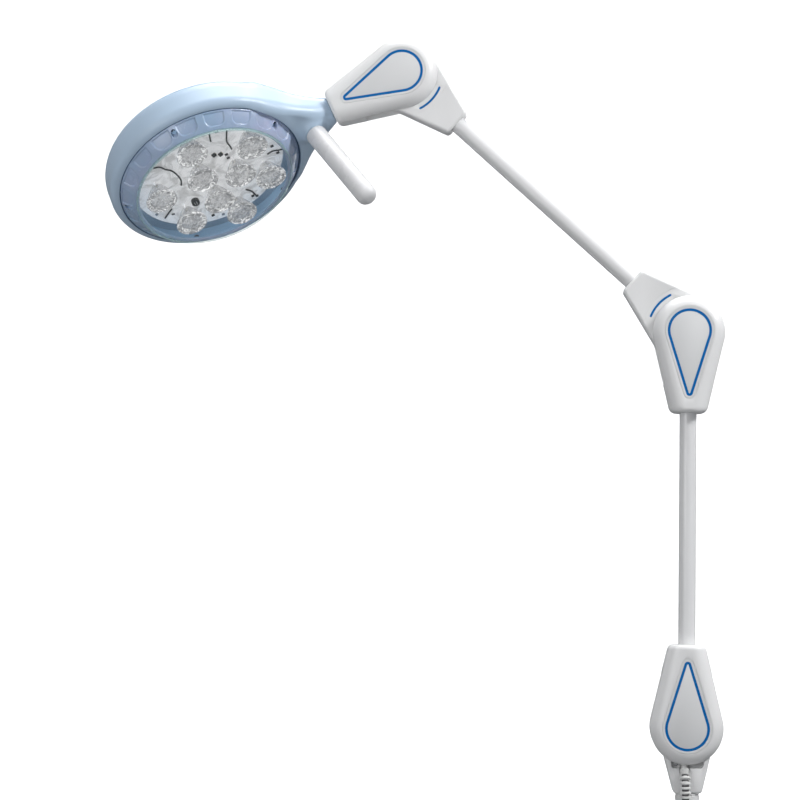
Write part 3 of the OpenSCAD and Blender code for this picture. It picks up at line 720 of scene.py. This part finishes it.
def fork_half(name, here, bore, screwed):
    """One cheek of a knuckle, with its slot, its plate's pocket and its tube's bore."""
    rings = pillow_rings(FORK_R, FORK_TAPER, FORK_REACH, FORK_HALF, 16, 5, 8, 0.12)
    inner = [(x * 0.97 + 0.5, y * 0.97, FORK_HALF) for x, y, _ in rings[-1]]
    made = piece(name, *loft(rings + [inner]), here, WHITE_SHELL)
    cuts = [
        box_mesh((-60, -60, -5), (WEB_START, 60, SLOT_HALF)),
        prism(drop_outline(28.85, LINE_TIP, 7.3), PLATE_FLOOR, 40),
        rod_mesh(WEB_START - 5, 120, bore),
    ]
    if screwed:
        cuts += [pin_mesh(9, 40, 3.8, at=(SCREW_U, w * SCREW_W)) for w in (-1, 1)]
    return cut(made, here, *cuts)


def fork_screw_pair(name, place):
    """Socket head screws that hold the two cheeks together, sunk in the rear one."""
    parts = []
    for w in (-1, 1):
        here = shift(place, SCREW_U, w * SCREW_W)
        head = [(0, -12.4), (3.1, -12.4, 0.3), (3.5, -12, 0.3), (3.5, -9), (0, -9)]
        made = turned("head", head, here, DARK_ZINC, 48)
        parts.append(cut(made, here, prism(around(1.75, 6), -14, -10.4), bevel=0))
        parts.append(turned("shank", [(0, -9.2), (1.95, -9.2), (1.95, 6.4), (0, 6.4)], here, DARK_ZINC, 32))
    return join(name, parts)


def plate(here):
    """Drop-shaped cover plate with a groove for its line."""
    steps = ((PLATE_FLOOR + 0.05, 0), (PLATE_TOP - 0.3, 0), (PLATE_TOP - 0.09, 0.09), (PLATE_TOP, 0.3),
             (PLATE_TOP, 0.8))
    rings = [[(x, y, z) for x, y in drop_outline(28.6 - d, LINE_TIP, 7.05 - d)] for z, d in steps]
    made = piece("plate", *loft(rings), here, GREY_PLATE)
    groove = band(drop_outline(25.53, LINE_TIP, 3.98), drop_outline(22.37, LINE_TIP, 0.82), 24.1, 30)
    return cut(made, here, groove, bevel=0.12)


def plate_line(here):
    """The coloured line let into the plate."""
    profile = ((24.12, 25.48, 3.93), (24.86, 25.48, 3.93), (24.92, 25.4, 3.85), (24.92, 22.5, 0.95),
               (24.86, 22.42, 0.87), (24.12, 22.42, 0.87), (24.12, 25.48, 3.93))
    rings = [[(x, y, z) for x, y in drop_outline(big, LINE_TIP, tip)] for z, big, tip in profile]
    return piece("line", *loft(rings, caps=False), here, BLUE_LINE)


def knuckle(name, place, body, bore, screws):
    """All the pieces of one fork."""
    sides = {"front": place, "rear": place @ FLIP}
    for side, here in sides.items():
        cheek = fork_half(f"{name}_cheek_{side}", here, bore, side == "rear")
        fit(cheek, body, "shell_white", f"{name}_fork_{side}")
    plates = [plate(here) for here in sides.values()]
    fit(join(f"{name}_covers", plates), body, "plate_grey", f"{name}_plates")
    lines = [plate_line(here) for here in sides.values()]
    fit(join(f"{name}_lines", lines), body, "line_blue", f"{name}_inlays")
    if screws:
        fit(fork_screw_pair(f"{name}_cheek_screws", place), body, "screw_dark", screws)


knuckle("shoulder", AT_SHOULDER, "lower_arm", CHEEK_BORE, None)
knuckle("elbow", AT_ELBOW_FORK, "lower_arm", CHEEK_BORE, None)
knuckle("wrist", AT_WRIST, "head_knuckle", COLLAR_BORE, "knuckle_screws")
lower_screws = [fork_screw_pair("s", AT_SHOULDER), fork_screw_pair("e", AT_ELBOW_FORK)]
lower_screws = join("lower_arm_cheek_screws", lower_screws)
fit(lower_screws, "lower_arm", "screw_dark", "lower_arm_screws")

# ---- brackets, tubes and post

TONGUE_HALF, FACE = 12.3, 11.8
ARC_R, ARC_SWEEP, ARC_HALF = 48, 20.5, 1.3
TUBE_R, TUBE_WALL = 10, 1.5


def tongue_rings(r, taper, reach, edge):
    """Rings of a flat bracket, rounded on both faces."""
    upper = pillow_rings(r, taper, reach, TONGUE_HALF, edge, edge, 5, 0.0)
    lower = [[(x, y, -z) for x, y, z in ring] for ring in upper[:0:-1]]
    return lower + upper[1:]


def arc_band(low, high, inset=0.0):
    """The curved line beside an arm's hinge, with round ends."""
    half = ARC_HALF - inset
    outer = arc(0, 0, ARC_R + half, -ARC_SWEEP, ARC_SWEEP, 40)
    inner = arc(0, 0, ARC_R - half, ARC_SWEEP, -ARC_SWEEP, 40)
    x, y = polar(ARC_R, ARC_SWEEP)
    cap_up = arc(x, y, half, ARC_SWEEP, 180 + ARC_SWEEP, 8)[1:-1]
    cap_down = arc(x, -y, half, 180 - ARC_SWEEP, 360 - ARC_SWEEP, 8)[1:-1]
    return [[(px, py, z) for px, py in outer + cap_up + inner + cap_down] for z in (low, high)]


def arm_bracket(name, place):
    """Bracket between a fork's cheeks: stepped faces, arc grooves and a socket for the tube."""
    made = piece(name, *loft(tongue_rings(42.3, 17, 90, 4)), place, WHITE_SHELL)
    cuts = [rod_mesh(60, 120, CHEEK_BORE), pin_mesh(-40, 40, PIN_BORE)]
    for side in (1, -1):
        low, high = sorted((side * FACE, side * 30))
        cuts.append(pin_mesh(low, high, 54, 160))
        low, high = sorted((side * 11.0, side * 30))
        cuts.append(loft(arc_band(low, high, -0.06)))
    return cut(made, place, *cuts, bevel=0.3)


def arc_lines(place):
    """Both arc lines of a bracket."""
    parts = []
    for side in (1, -1):
        rings = arc_band(side * 11.02, side * 11.65) + arc_band(side * 11.76, side * 11.76, 0.12)[:1]
        parts.append(piece("line", *loft(rings), place, BLUE_LINE))
    return parts


fit(arm_bracket("elbow_tongue", AT_ELBOW_BRACKET), "upper_arm", "shell_white", "elbow_bracket")
fit(arm_bracket("wrist_tongue", AT_WRIST_BRACKET), "upper_arm", "shell_white", "wrist_bracket")
both_arcs = join("arm_arc_lines", arc_lines(AT_ELBOW_BRACKET) + arc_lines(AT_WRIST_BRACKET))
fit(both_arcs, "upper_arm", "line_blue", "arc_inlays")


def arm_tube(name, place, start, end):
    """Round tube with turned ends."""
    outside = [(TUBE_R, start + (end - start) * k / 24) for k in range(25)]
    profile = outside + [(TUBE_R - TUBE_WALL, end), (TUBE_R - TUBE_WALL, start)]
    return piece(name, *lathe(profile, 96, "x"), place, TUBE_PAINT)


lower_pipe = arm_tube("lower_pipe", AT_SHOULDER, 64, arm_length - 64)
upper_pipe = arm_tube("upper_pipe", AT_ELBOW_BRACKET, 60, arm_length - 60)
fit(lower_pipe, "lower_arm", "tube_paint", "lower_tube")
fit(upper_pipe, "upper_arm", "tube_paint", "upper_tube")


def rod_from(a, b, r, steps=48):
    """Solid rod between two points."""
    a, b = Vector(a), Vector(b)
    along = (b - a).normalized()
    side = along.orthogonal().normalized()
    other = along.cross(side)
    return loft([[p + r * (c * side + s * other) for c, s in around(1, steps)] for p in (a, b)])


def base_tongue():
    """Foot bracket with the cable's pocket and slanted groove in its front."""
    made = piece("base_tongue", *loft(tongue_rings(34, 14, 75, 3)), AT_BASE, WHITE_SHELL)
    pocket = ([(30, -18.6)] + arc(42, -14.6, 4, -90, 0, 8) + arc(42, 14.6, 4, 0, 90, 8) + [(30, 18.6)])
    top = Vector((TOP_U, RELIEF_W, TOP_Z))
    back = Vector((-math.sin(SLOPE), 0, math.cos(SLOPE)))
    return cut(made, AT_BASE, prism(pocket, 4, 30), rod_from(top + back * 18, top - back * 12, 6.3),
               pin_mesh(-40, 40, PIN_BORE), rod_mesh(56, 90, 8.0), bevel=0.35)


def pocket_screw():
    """Small round screw with a hexagon socket, beside the cable."""
    here = shift(AT_BASE, 41.5, -13, 4)
    head = [(0, 0.02), (2.7, 0.02, 0.1), (2.8, 1.2, 0.6), (1.9, 1.75, 0.3), (0, 1.75)]
    made = turned("pocket_fixing", head, here, STEEL, 48)
    return cut(made, here, prism(around(1.25, 6), 0.9, 4), bevel=0)


post_profile = [(10, -31.5), (11, -31.5, 0.3), (12.5, -30, 0.5), (12.5, 29.6), (14, 30.4, 0.4),
                (14, 109.2, 0.6), (13.2, 110, 0.3), (10, 110)]
fit(turned("post_tube", post_profile, AT_ROW, POST_PAINT, 128), "post", "post_paint", "mount_post")
fit(base_tongue(), "base", "shell_white", "base_bracket")
fit(pocket_screw(), "base", "steel", "pocket_screw")

# ---- head shell

DISC_R, BACK_Z, FRONT_Z = 122.6, -36, 12
BACK_FILLET, FRONT_FILLET = 22, 9.6
SEAM_R, LIP_R, LIP_Z = 113, 97, 28
LEDGE_Z = -8
COLLAR_S = 95.6
BUTTON_S = 121
BOSS_R, BOSS_DEPTH = 13.1, 20
NECK_BLEND, BOSS_BLEND = 14, 9
NECK_END = 190
VOXEL = 1.6
SKIN_PASSES = 5
SCREW_RING_R, SCREW_TURN = 105.5, -85
neck_sections = [
    (COLLAR_S, 15.4, 15.4, 15.4, 15.2), (100, 17.6, 17.6, 17.6, 17), (113, 26, 19.5, 17, 15),
    (128, 37.5, 23, 15, 13), (143, 51, 28, 12.5, 12), (166, 73, 33, 11.5, 11)
]


def section_table():
    """Neck widths, depths and corner radii along the head's axis, smoothed between the sections."""
    s = np.arange(60, 220, 0.5)
    table = [s]
    knots = np.array(neck_sections, float)
    for column in range(1, 5):
        value = np.interp(s, knots[:, 0], knots[:, column])
        value = np.where(s > 166, knots[-1, column], value)
        kernel = np.ones(13) / 13
        for _ in range(2):
            value = np.convolve(np.pad(value, 6, mode="edge"), kernel, "valid")
        table.append(value)
    return np.array(table)


NECK = section_table()


def head_distance(p):
    """Signed distance, in millimetres, from points to the head's outer skin."""
    x, y, z = p[:, 0], p[:, 1], p[:, 2]
    rho = np.hypot(x - DISC_REACH, y)
    middle = (FRONT_Z + BACK_Z) / 2
    fillet = np.where(z > middle, FRONT_FILLET, BACK_FILLET)
    qx, qz = rho - DISC_R + fillet, np.abs(z - middle) - (FRONT_Z - BACK_Z) / 2 + fillet
    disc = corner_distance(qx, qz, fillet)
    w, b, f, r = (np.interp(x, NECK[0], NECK[i]) for i in range(1, 5))
    qy, qz = np.abs(y) - w + r, np.abs(z - (f - b) / 2) - (f + b) / 2 + r
    neck = round_max(corner_distance(qy, qz, r), COLLAR_S - x, 1.2)
    neck = np.maximum(neck, x - NECK_END)
    lean = math.radians(HANDLE_LEAN)
    dx, dz = x - HANDLE_S, z - HANDLE_Z
    t = -math.sin(lean) * dx + math.cos(lean) * dz
    away = np.sqrt(np.maximum(dx * dx + y * y + dz * dz - t * t, 1e-9))
    boss = round_max((away - BOSS_R + 0.5 * t) * 0.9, t, 1.2)
    boss = np.maximum(boss, -t - BOSS_DEPTH)
    return blend_min(blend_min(disc, neck, NECK_BLEND), boss, BOSS_BLEND)


def corner_distance(a, b, r):
    """Distance to a rounded corner, from how far a point is past the middle of its fillet."""
    return np.minimum(np.maximum(a, b), 0) + np.hypot(np.maximum(a, 0), np.maximum(b, 0)) - r


def blend_min(a, b, k):
    """The union of two shapes, with a fillet about k wide between them."""
    h = np.clip(0.5 + 0.5 * (b - a) / k, 0, 1)
    return b * (1 - h) + a * h - k * h * (1 - h)


def round_max(a, b, r):
    """The intersection of two shapes, with their edge rounded."""
    return np.minimum(np.maximum(a, b), -r) + np.hypot(np.maximum(a + r, 0), np.maximum(b + r, 0))


def head_shell():
    """Disc, neck and handle boss as one moulding: a voxel mesh drawn onto the blended skin."""
    outline = [(0, BACK_Z), (DISC_R, BACK_Z, BACK_FILLET), (DISC_R, FRONT_Z, FRONT_FILLET), (0, FRONT_Z)]
    disc = piece("disc", *lathe(rounded(outline, 10), 128), AT_DISC, HEAD_SHELL)
    rings = []
    for s in np.arange(COLLAR_S, 186, 2.5):
        w, b, f, r = (float(np.interp(s, NECK[0], NECK[i])) for i in range(1, 5))
        corners = ((w - r, f - r, 0), (-w + r, f - r, 90), (-w + r, -b + r, 180), (w - r, -b + r, 270))
        rings.append([(s, y, z) for cy, cz, a in corners for y, z in arc(cy, cz, r, a, a + 90, 10)])
    neck = piece("neck", *loft(rings), AT_HEAD, HEAD_SHELL)
    boss = turned("boss", [(0, -BOSS_DEPTH), (23, -BOSS_DEPTH), (BOSS_R, 0), (0, 0)], AT_HANDLE, HEAD_SHELL)
    made = join("head_shell", [disc, neck, boss])
    remesh = made.modifiers.new("remesh", "REMESH")
    remesh.mode = "VOXEL"
    remesh.voxel_size = VOXEL * MM
    bake(made)
    to_local = np.array(AT_HEAD.inverted())
    to_row = np.array(AT_HEAD)
    points = np.empty(len(made.data.vertices) * 3)
    made.data.vertices.foreach_get("co", points)
    points = points.reshape(-1, 3) @ to_local[:3, :3].T + to_local[:3, 3]
    for _ in range(SKIN_PASSES):
        here = head_distance(points)
        slope = np.stack([head_distance(points + 0.02 * axis) - here for axis in np.eye(3)], 1) / 0.02
        points -= slope * (here / np.maximum((slope ** 2).sum(1), 0.2))[:, None]
    made.data.vertices.foreach_set("co", (points @ to_row[:3, :3].T + to_row[:3, 3]).ravel())
    made.data.update()
    cut(made, AT_HEAD,
        move(pin_mesh(LEDGE_Z, 30, SEAM_R, 192), DISC_REACH),
        move(pin_mesh(-60, -33, 96.1, 192), DISC_REACH),
        move(pin_mesh(-60, -12.5, 6.4, 48), BUTTON_S),
        rod_mesh(80, 125, 10.1), bevel=0.4, sharp=40)
    return made


def move(solid, x):
    """A solid moved along x."""
    verts, faces = solid
    return [(v[0] + x, v[1], v[2]) for v in verts], faces


fit(head_shell(), "head", "head_shell", "head_housing")

# ---- head front and rear

CELLS = 20
RECESS_DEPTH = 1.5
SCREW_COUNT = 5
SLOT_COUNT = 36


def ring_profile(theta):
    """Profile of the front ring at one angle, as (radius, height), with its recess there."""
    foot, top = Vector((111.5, 12)), Vector((LIP_R, LIP_Z))
    along = top - foot
    out = Vector((along.y, -along.x)).normalized()
    if out.x < 0:
        out = -out
    line = [(111.5, -1), (111.5, 6), (111.5, 10.4), (111.45, 11.3)]
    pitch = 2 * math.pi / CELLS
    centre = math.radians(SCREW_TURN) + pitch * (0.5 + math.floor((theta - math.radians(SCREW_TURN)) / pitch))
    for i in range(41):
        v = along.length * i / 40
        bulge = 1.1 * math.sin(math.pi * i / 40)
        spot = foot + along * (i / 40)
        u = (theta - centre) * (spot.x + 0.3)
        inside = cell_depth(abs(u), v)
        spot = spot + out * (bulge - RECESS_DEPTH * inside)
        line.append((spot.x, spot.y))
    line += [(96.2, LIP_Z), (95.6, LIP_Z - 0.3), (93.2, LIP_Z - 0.4), (92.6, LIP_Z - 1), (92.6, 26.5),
             (108.5, 10), (108.5, -1)]
    return line


def cell_depth(u, v):
    """How far into a U-shaped recess a point is: 0 at its edge, 1 on its floor. v runs up the slope."""
    half = 13.2 - 0.09 * v
    corner = 8.5
    top = 18.2
    qu, qv = u - half + corner, v - top + corner
    outside = min(max(qu, qv), 0) + math.hypot(max(qu, 0), max(qv, 0)) - corner
    foot = 1.6 - v
    return ease(-max(outside, foot) / 1.3)


def front_ring():
    """Raised ring with its row of U-shaped recesses and five screw wells."""
    made = piece("front_bezel", *lathe(ring_profile, 1080), AT_DISC, RING_PLASTIC, 60)
    wells = [pin_mesh(11.8, 60, 3.7, 40, polar(SCREW_RING_R, SCREW_TURN + 360 / SCREW_COUNT * k))
             for k in range(SCREW_COUNT)]
    return cut(made, AT_DISC, *wells, bevel=0, sharp=60)


def bezel_screws():
    """Round head screws at the bottom of the ring's wells."""
    parts = []
    profile = [(0, 0), (3.3, 0, 0.1), (3.4, 1.2, 0.6), (2.4, 2.1, 0.5), (0, 2.2)]
    for k in range(SCREW_COUNT):
        turn = Matrix.Rotation(math.radians(SCREW_TURN + 360 / SCREW_COUNT * k), 4, "Z")
        here = shift(AT_DISC @ turn, SCREW_RING_R, 0, 11.9)
        head = turned("head", profile, here, DARK_ZINC, 40)
        cross = [box_mesh((-1.9, -0.45, 1.1), (1.9, 0.45, 3)), box_mesh((-0.45, -1.9, 1.1), (0.45, 1.9, 3))]
        parts.append(cut(head, here, *cross, bevel=0))
    return join("bezel_screws", parts)


def window_pane():
    """Clear pane with a polished, green-tinted edge."""
    pane = [(0, 28.1), (96.0, 28.1), (96.0, 31.9, 0.6), (0, 31.9)]
    rim = [(96.0, 28.05), (96.9, 28.3, 0.3), (96.9, 31.6, 0.7), (96.0, 32), (95.2, 32), (95.2, 31.85)]
    return join("window_pane", [turned("pane", pane, AT_DISC, WINDOW_CLEAR, 256),
                                turned("rim", rim, AT_DISC, WINDOW_EDGE, 256)])


def inner_lining():
    """Dark gasket in the seam, with the skirt that lines the space round the board; the skirt's faint glow is
    painted light.
    """
    gasket = [(95.6, -6.9), (111.4, -6.9, 0.5), (111.6, 11.4), (111.9, 12.05, 0.2), (112.9, 12.05, 0.2),
              (112.95, -7.8), (95.6, -7.8)]
    skirt = [(93.4, 25.4), (108.1, 9.8), (108.1, -6.7), (96, -6.7), (96, -6.4), (107.8, -6.4), (107.8, 9.7),
             (93.2, 25.1)]
    return join("seam_gasket", [turned("gasket", gasket, AT_DISC, GASKET_NAVY, 256),
                                turned("skirt", skirt, AT_DISC, SKIRT_BLUE, 256)])


def rear_lid():
    """Shallow domed cover with a stepped edge and a ring of cooling slots."""
    profile = [(0, -38.4), (40, -38.2), (78, -37.6), (92, -36.6, 4), (95.7, -35.2, 1), (95.7, -33.05),
               (0, -33.05)]
    made = turned("rear_lid", profile, AT_DISC, HEAD_COVER, 192)
    slot = rounded([(x, y, 1.3) for x, y in ((56, -1.4), (80, -1.4), (80, 1.4), (56, 1.4))], 4)
    slots = []
    for k in range(SLOT_COUNT):
        angle = math.radians(360 / SLOT_COUNT * k)
        c, s = math.cos(angle), math.sin(angle)
        slots.append(prism([(x * c - y * s, x * s + y * c) for x, y in slot], -60, -35.5))
    return cut(made, AT_DISC, *slots, bevel=0.25)


def grip():
    """Straight handle with a domed end and a shadow groove above its boss."""
    profile = [(0, 0.3), (11.9, 0.3, 0.3), (12.0, 1.5), (12.5, 2.1, 0.4), (12.5, 60), (12.5, 128.3, 8.5),
               (0, 128.6)]
    return turned("grip", profile, AT_HANDLE, HANDLE_WHITE, 128)


def push_button():
    """Round button with a dished face and a raised rim."""
    profile = [(0, -24.1), (4.3, -24.4, 0.5), (5.0, -25, 0.4), (5.9, -24.8, 0.5), (5.95, -14.5), (0, -14.5)]
    return turned("push_button", profile, shift(AT_HEAD, BUTTON_S), BUTTON_GREY, 64)


fit(front_ring(), "head", "head_shell", "front_ring")
fit(bezel_screws(), "head", "steel", "cover_screws")
fit(window_pane(), "head", "window_clear", "window")
fit(inner_lining(), "head", "gasket_navy", "window_gasket")
fit(rear_lid(), "head", "cover_blue", "rear_cover")
fit(grip(), "head", "handle_white", "handle")
fit(push_button(), "button", "button_grey", "power_button")

# ---- lights inside the head

LENS_AT = [(4, -64), (-62, -30), (64, -14), (9, -15), (-33, 7), (-64, 35), (48, 48), (5, 34), (-11, 72)]
BIG_CHIPS = [(-15.5, -20.5), (-22.8, -16.7)]
SMALL_CHIPS = [(-28.6, -11.4), (-28.6, -4.5), (-84, 26.5), (-81.5, 11), (-35.5, 83.5), (-31, 80), (24, 80.5)]
BOARD_TOP = 0.5
WIRE_R = 1.0
WIRES = [
    [(55, -46.5, 1.5), (48, -44, 1.8), (43.5, -36, 1.9), (38, -28.5, 1.9), (35, -17, 1.8), (34.5, -6, 1.8),
     (37.5, 3, 1.5)],
    [(-43.5, -50, 1.5), (-40, -42, 1.9), (-37, -32.5, 1.9), (-37.5, -23.5, 1.8), (-37.5, -16.5, 1.5)],
    [(-23.5, -58, 1.5), (-22, -52.5, 1.8), (-20.5, -45, 1.5)],
    [(-72, 20.5, 1.5), (-79.5, 19, 1.9), (-86, 22, 1.9), (-91.5, 24.5, 1.5)],
    [(-27.5, 63, 1.5), (-32, 69, 1.8), (-34, 76.5, 1.8), (-35, 82.5, 1.5)],
    [(76.5, 45.5, 1.5), (69.5, 39.5, 1.8), (63, 35, 1.5)],
    [(-30, -56, 1.5), (-34.5, -55.5, 1.5)],
    [(63.5, 46, 1.5), (67, 44.5, 1.5)]
]


def led_board():
    """Board under a reflective film, with a rim and small rivets."""
    profile = [(0, -1), (94.6, -1), (95, -0.6, 0.2), (95, 0.45, 0.2), (0, BOARD_TOP)]
    parts = [turned("board", profile, AT_DISC, BOARD_SILVER, 192)]
    rivet = [(0, 0), (2.2, 0), (2.0, 0.5, 0.3), (1.2, 0.9, 0.3), (0, 1.0)]
    for k in range(6):
        here = shift(AT_DISC, *polar(89, 60 * k + 22), 0.45)
        parts.append(turned("rivet", rivet, here, STEEL, 24))
    return join("board_disc", parts)


def pad(wide, deep, corner, steps):
    """Rectangle with round corners, from its half sizes."""
    corners = ((-wide, -deep), (wide, -deep), (wide, deep), (-wide, deep))
    return rounded([(x, y, corner) for x, y in corners], steps)


def led_dies():
    """Square emitters with a domed drop of phosphor on a white carrier."""
    parts = []
    drop = [(0, 0.65), (1.7, 0.65), (1.5, 1.1, 0.3), (0.8, 1.35, 0.3), (0, 1.4)]
    for x, y in LENS_AT:
        here = shift(AT_DISC, x, y, BOARD_TOP)
        parts.append(piece("carrier", *prism(pad(2.5, 2.5, 0.3, 3), 0.02, 0.7), here, HANDLE_WHITE))
        parts.append(turned("drop", drop, here, CHIP_YELLOW, 32))
    return join("led_dies", parts)


def collimators():
    """Moulded lenses: a cone with ringed steps, a rim with the strongest painted glints, and a dished front.
    """
    wall = [(0, 4.4), (3.6, 4.0, 0.4), (4.2, 2.1), (6.0, 2.1, 0.3)]
    for k in range(8):
        r, z = 7.2 + 1.42 * k, 3.6 + 2.5 * k
        wall += [(r, z), (r + 0.75, z + 0.5, 0.2), (r + 1.0, z + 2.2)]
    wall += [(17.8, 22.8), (16.6, 22.4), (6, 5.0), (0, 5.2)]
    rim = [(12.6, 22.9), (17.6, 22.9), (19.0, 23.3, 0.4), (19.1, 25.9, 0.5), (17.6, 25.9, 0.4),
           (16.9, 24.8, 0.3), (14.6, 24.4), (12.6, 24.0)]
    face = [(0, 23.0), (12.5, 22.9), (12.5, 23.9), (9, 23.7), (6.5, 23.8), (4.2, 24.7), (0, 25.3)]
    parts = []
    for x, y in LENS_AT:
        here = shift(AT_DISC, x, y)
        parts.append(turned("wall", wall, here, LENS_WALL, 72, sharp=28))
        parts.append(turned("rim", rim, here, LENS_RIM, 72, sharp=28))
        parts.append(turned("face", face, here, LENS_FACE, 72, sharp=28))
    return join("collimators", parts)


def lens_holders():
    """Thin feet of each collimator that stand on the board."""
    parts = []
    for x, y in LENS_AT:
        for k in range(3):
            here = shift(AT_DISC, *polar(7.4, 120 * k + 30, x, y))
            parts.append(turned("foot", [(0, 0.5), (1.3, 0.5), (1.0, 4.6), (0, 4.6)], here, BOARD_SILVER, 16))
    return parts


def board_fittings():
    """Resistors, a thermistor, a connector and the wires between the emitters."""
    parts = []
    for x, y in BIG_CHIPS:
        here = shift(AT_DISC, x, y, BOARD_TOP) @ Matrix.Rotation(math.radians(12), 4, "Z")
        parts.append(piece("chip", *prism(pad(2.4, 2.4, 0.3, 3), 0.02, 2.2), here, PART_BLACK))
        for w in (-2.9, 2.5):
            parts.append(piece("tab", *box_mesh((w, -1.8, 0.02), (w + 0.4, 1.8, 0.8)), here, NICKEL))
    for x, y in SMALL_CHIPS:
        here = shift(AT_DISC, x, y, BOARD_TOP)
        parts.append(piece("chip", *prism(pad(2, 1.2, 0.2, 2), 0.02, 1.6), here, PART_BLACK))
    socket = shift(AT_DISC, 33.5, 40.5)
    cup = [(0, BOARD_TOP), (5.0, BOARD_TOP), (5.0, 6.2, 0.4), (3.6, 6.2, 0.3), (3.4, 5.2), (0, 5.2)]
    parts.append(turned("socket", cup, socket, PART_BLACK, 48))
    for x in (-1.6, 1.0):
        parts.append(piece("contact", *box_mesh((x, -2.6, 5.2), (x + 0.8, 2.6, 6.0)), socket, HANDLE_WHITE))
    for route in WIRES:
        line = smooth_line(route, 10)
        parts.append(sweep(line, [WIRE_R] * len(line), 12, AT_DISC, "wire", WIRE_DARK))
    return join("board_fittings", parts + lens_holders())


fit(led_board(), "head", "board_white", "led_board")
fit(led_dies(), "head", "chip_yellow", "led_chips")
fit(collimators(), "head", "lens_clear", "lenses")
fit(board_fittings(), "head", "part_black", "board_parts")

# ---- hidden pieces keep their CAD shape

finishes = {
    BRONZE: ["swivel_bushes", "base_hinge_bush", "upper_arm_bushes", "roll_bush"],
    STEEL: ["swivel_spindle", "spindle_clip", "shoulder_bolt", "shoulder_nut", "elbow_bolt", "elbow_nut",
            "wrist_bolt", "wrist_nut", "roll_spindle", "spindle_ring", "handle_stud"],
    PLUG_WHITE: ["thrust_washer"],
    LINING: ["shoulder_washers", "elbow_washers", "wrist_washers"],
    ALUMINIUM: ["heat_sink"]
}
for material, names in finishes.items():
    for name in names:
        nodes[name].data.materials.clear()
        nodes[name].data.materials.append(material)

# ---- floor and light

FLOOR_Z, STAGE_HALF = -0.262, 20
WALL_Y, WALL_BEND, WALL_TOP = 9, 3.4, 17
SURROUND_R = 30


def sheet(name, line, material, turns=None):
    """A stage surface from a line of (y, z), pulled along x or turned about z in that many steps."""
    if turns:
        angles = [2 * math.pi * k / turns for k in range(turns + 1)]
        columns = [[(y * math.sin(a), -y * math.cos(a), z) for a in angles] for y, z in line]
    else:
        columns = [[(x, y, z) for x in (-STAGE_HALF, STAGE_HALF)] for y, z in line]
    count = len(columns[0])
    faces = [(i * count + k, i * count + k + 1, (i + 1) * count + k + 1, (i + 1) * count + k)
             for i in range(len(line) - 1) for k in range(count - 1)]
    mesh = bpy.data.meshes.new(name)
    mesh.from_pydata([v for column in columns for v in column], [], faces)
    mesh.materials.append(material)
    for face in mesh.polygons:
        face.use_smooth = True
    made = new_object(name, mesh)
    made.visible_diffuse = False
    made.visible_glossy = False
    return made


def backdrop():
    """Pale floor that curves up into a wall behind the lamp, and a far surround for other views."""
    paper = Shader("paper", (0.93, 0.93, 0.93), Emission_Strength=0.88, Emission_Color=(1, 1, 1, 1))
    paper.rough(paper.noise(3, 2), 0.85, 0.95)
    bend_y = WALL_Y - WALL_BEND
    curve = arc(bend_y, FLOOR_Z + WALL_BEND, WALL_BEND, -84, 0, 14)
    wall = [(-STAGE_HALF, FLOOR_Z), (bend_y, FLOOR_Z)] + curve + [(WALL_Y, WALL_TOP)]
    sheet("backdrop", wall, paper.material)
    below = FLOOR_Z - 0.01
    bowl = [(0.1, below), (SURROUND_R, below), (SURROUND_R, SURROUND_R)]
    surround = sheet("surround", bowl, paper.material, 48)
    surround.visible_shadow = False
    surround.visible_transmission = False


def area_light(name, at, target, size, power):
    """Round soft light at a place, aimed at another."""
    data = bpy.data.lights.new(name, "AREA")
    data.shape = "DISK"
    data.size = size
    data.energy = power
    made = new_object(name, data)
    made.location = at
    made.rotation_euler = (Vector(target) - Vector(at)).to_track_quat("-Z", "Y").to_euler()


backdrop()
area_light("key", (2.1, -1.1, 2.4), (-0.1, 0, 0.6), 1.0, 74)
area_light("fill", (-2.3, -2.0, 1.3), (-0.2, 0, 0.6), 1.6, 8)
area_light("low", (-0.9, -1.3, 0.5), (-0.4, 0, 0.8), 0.9, 5)
area_light("top", (-0.5, -0.15, 2.9), (-0.3, 0, 0.7), 1.4, 21)
area_light("back", (0, 1.3, 4.2), (0, 3.2, 0.9), 2.5, 120)
area_light("rear", (0.9, 2.7, 1.4), (-0.2, 0, 0.5), 1.6, 14)


def studio():
    """Soft, slightly cool light from all round, brighter towards the upper right."""
    made = bpy.data.worlds.new("studio")
    made.use_nodes = True
    tree = made.node_tree
    coords = tree.nodes.new("ShaderNodeTexCoord")
    dot = tree.nodes.new("ShaderNodeVectorMath")
    dot.operation = "DOT_PRODUCT"
    dot.inputs[1].default_value = (0.5, -0.25, 0.83)
    tree.links.new(coords.outputs["Generated"], dot.inputs[0])
    level = map_range(tree, dot.outputs["Value"], -1, 1, 0.18, 0.39)
    background = tree.nodes["Background"]
    background.inputs["Color"].default_value = (0.96, 0.985, 1.02, 1)
    tree.links.new(level, background.inputs["Strength"])
    return made


bpy.context.scene.world = studio()
bpy.context.scene.view_settings.view_transform = "Standard"
bpy.context.scene.view_settings.look = "None"
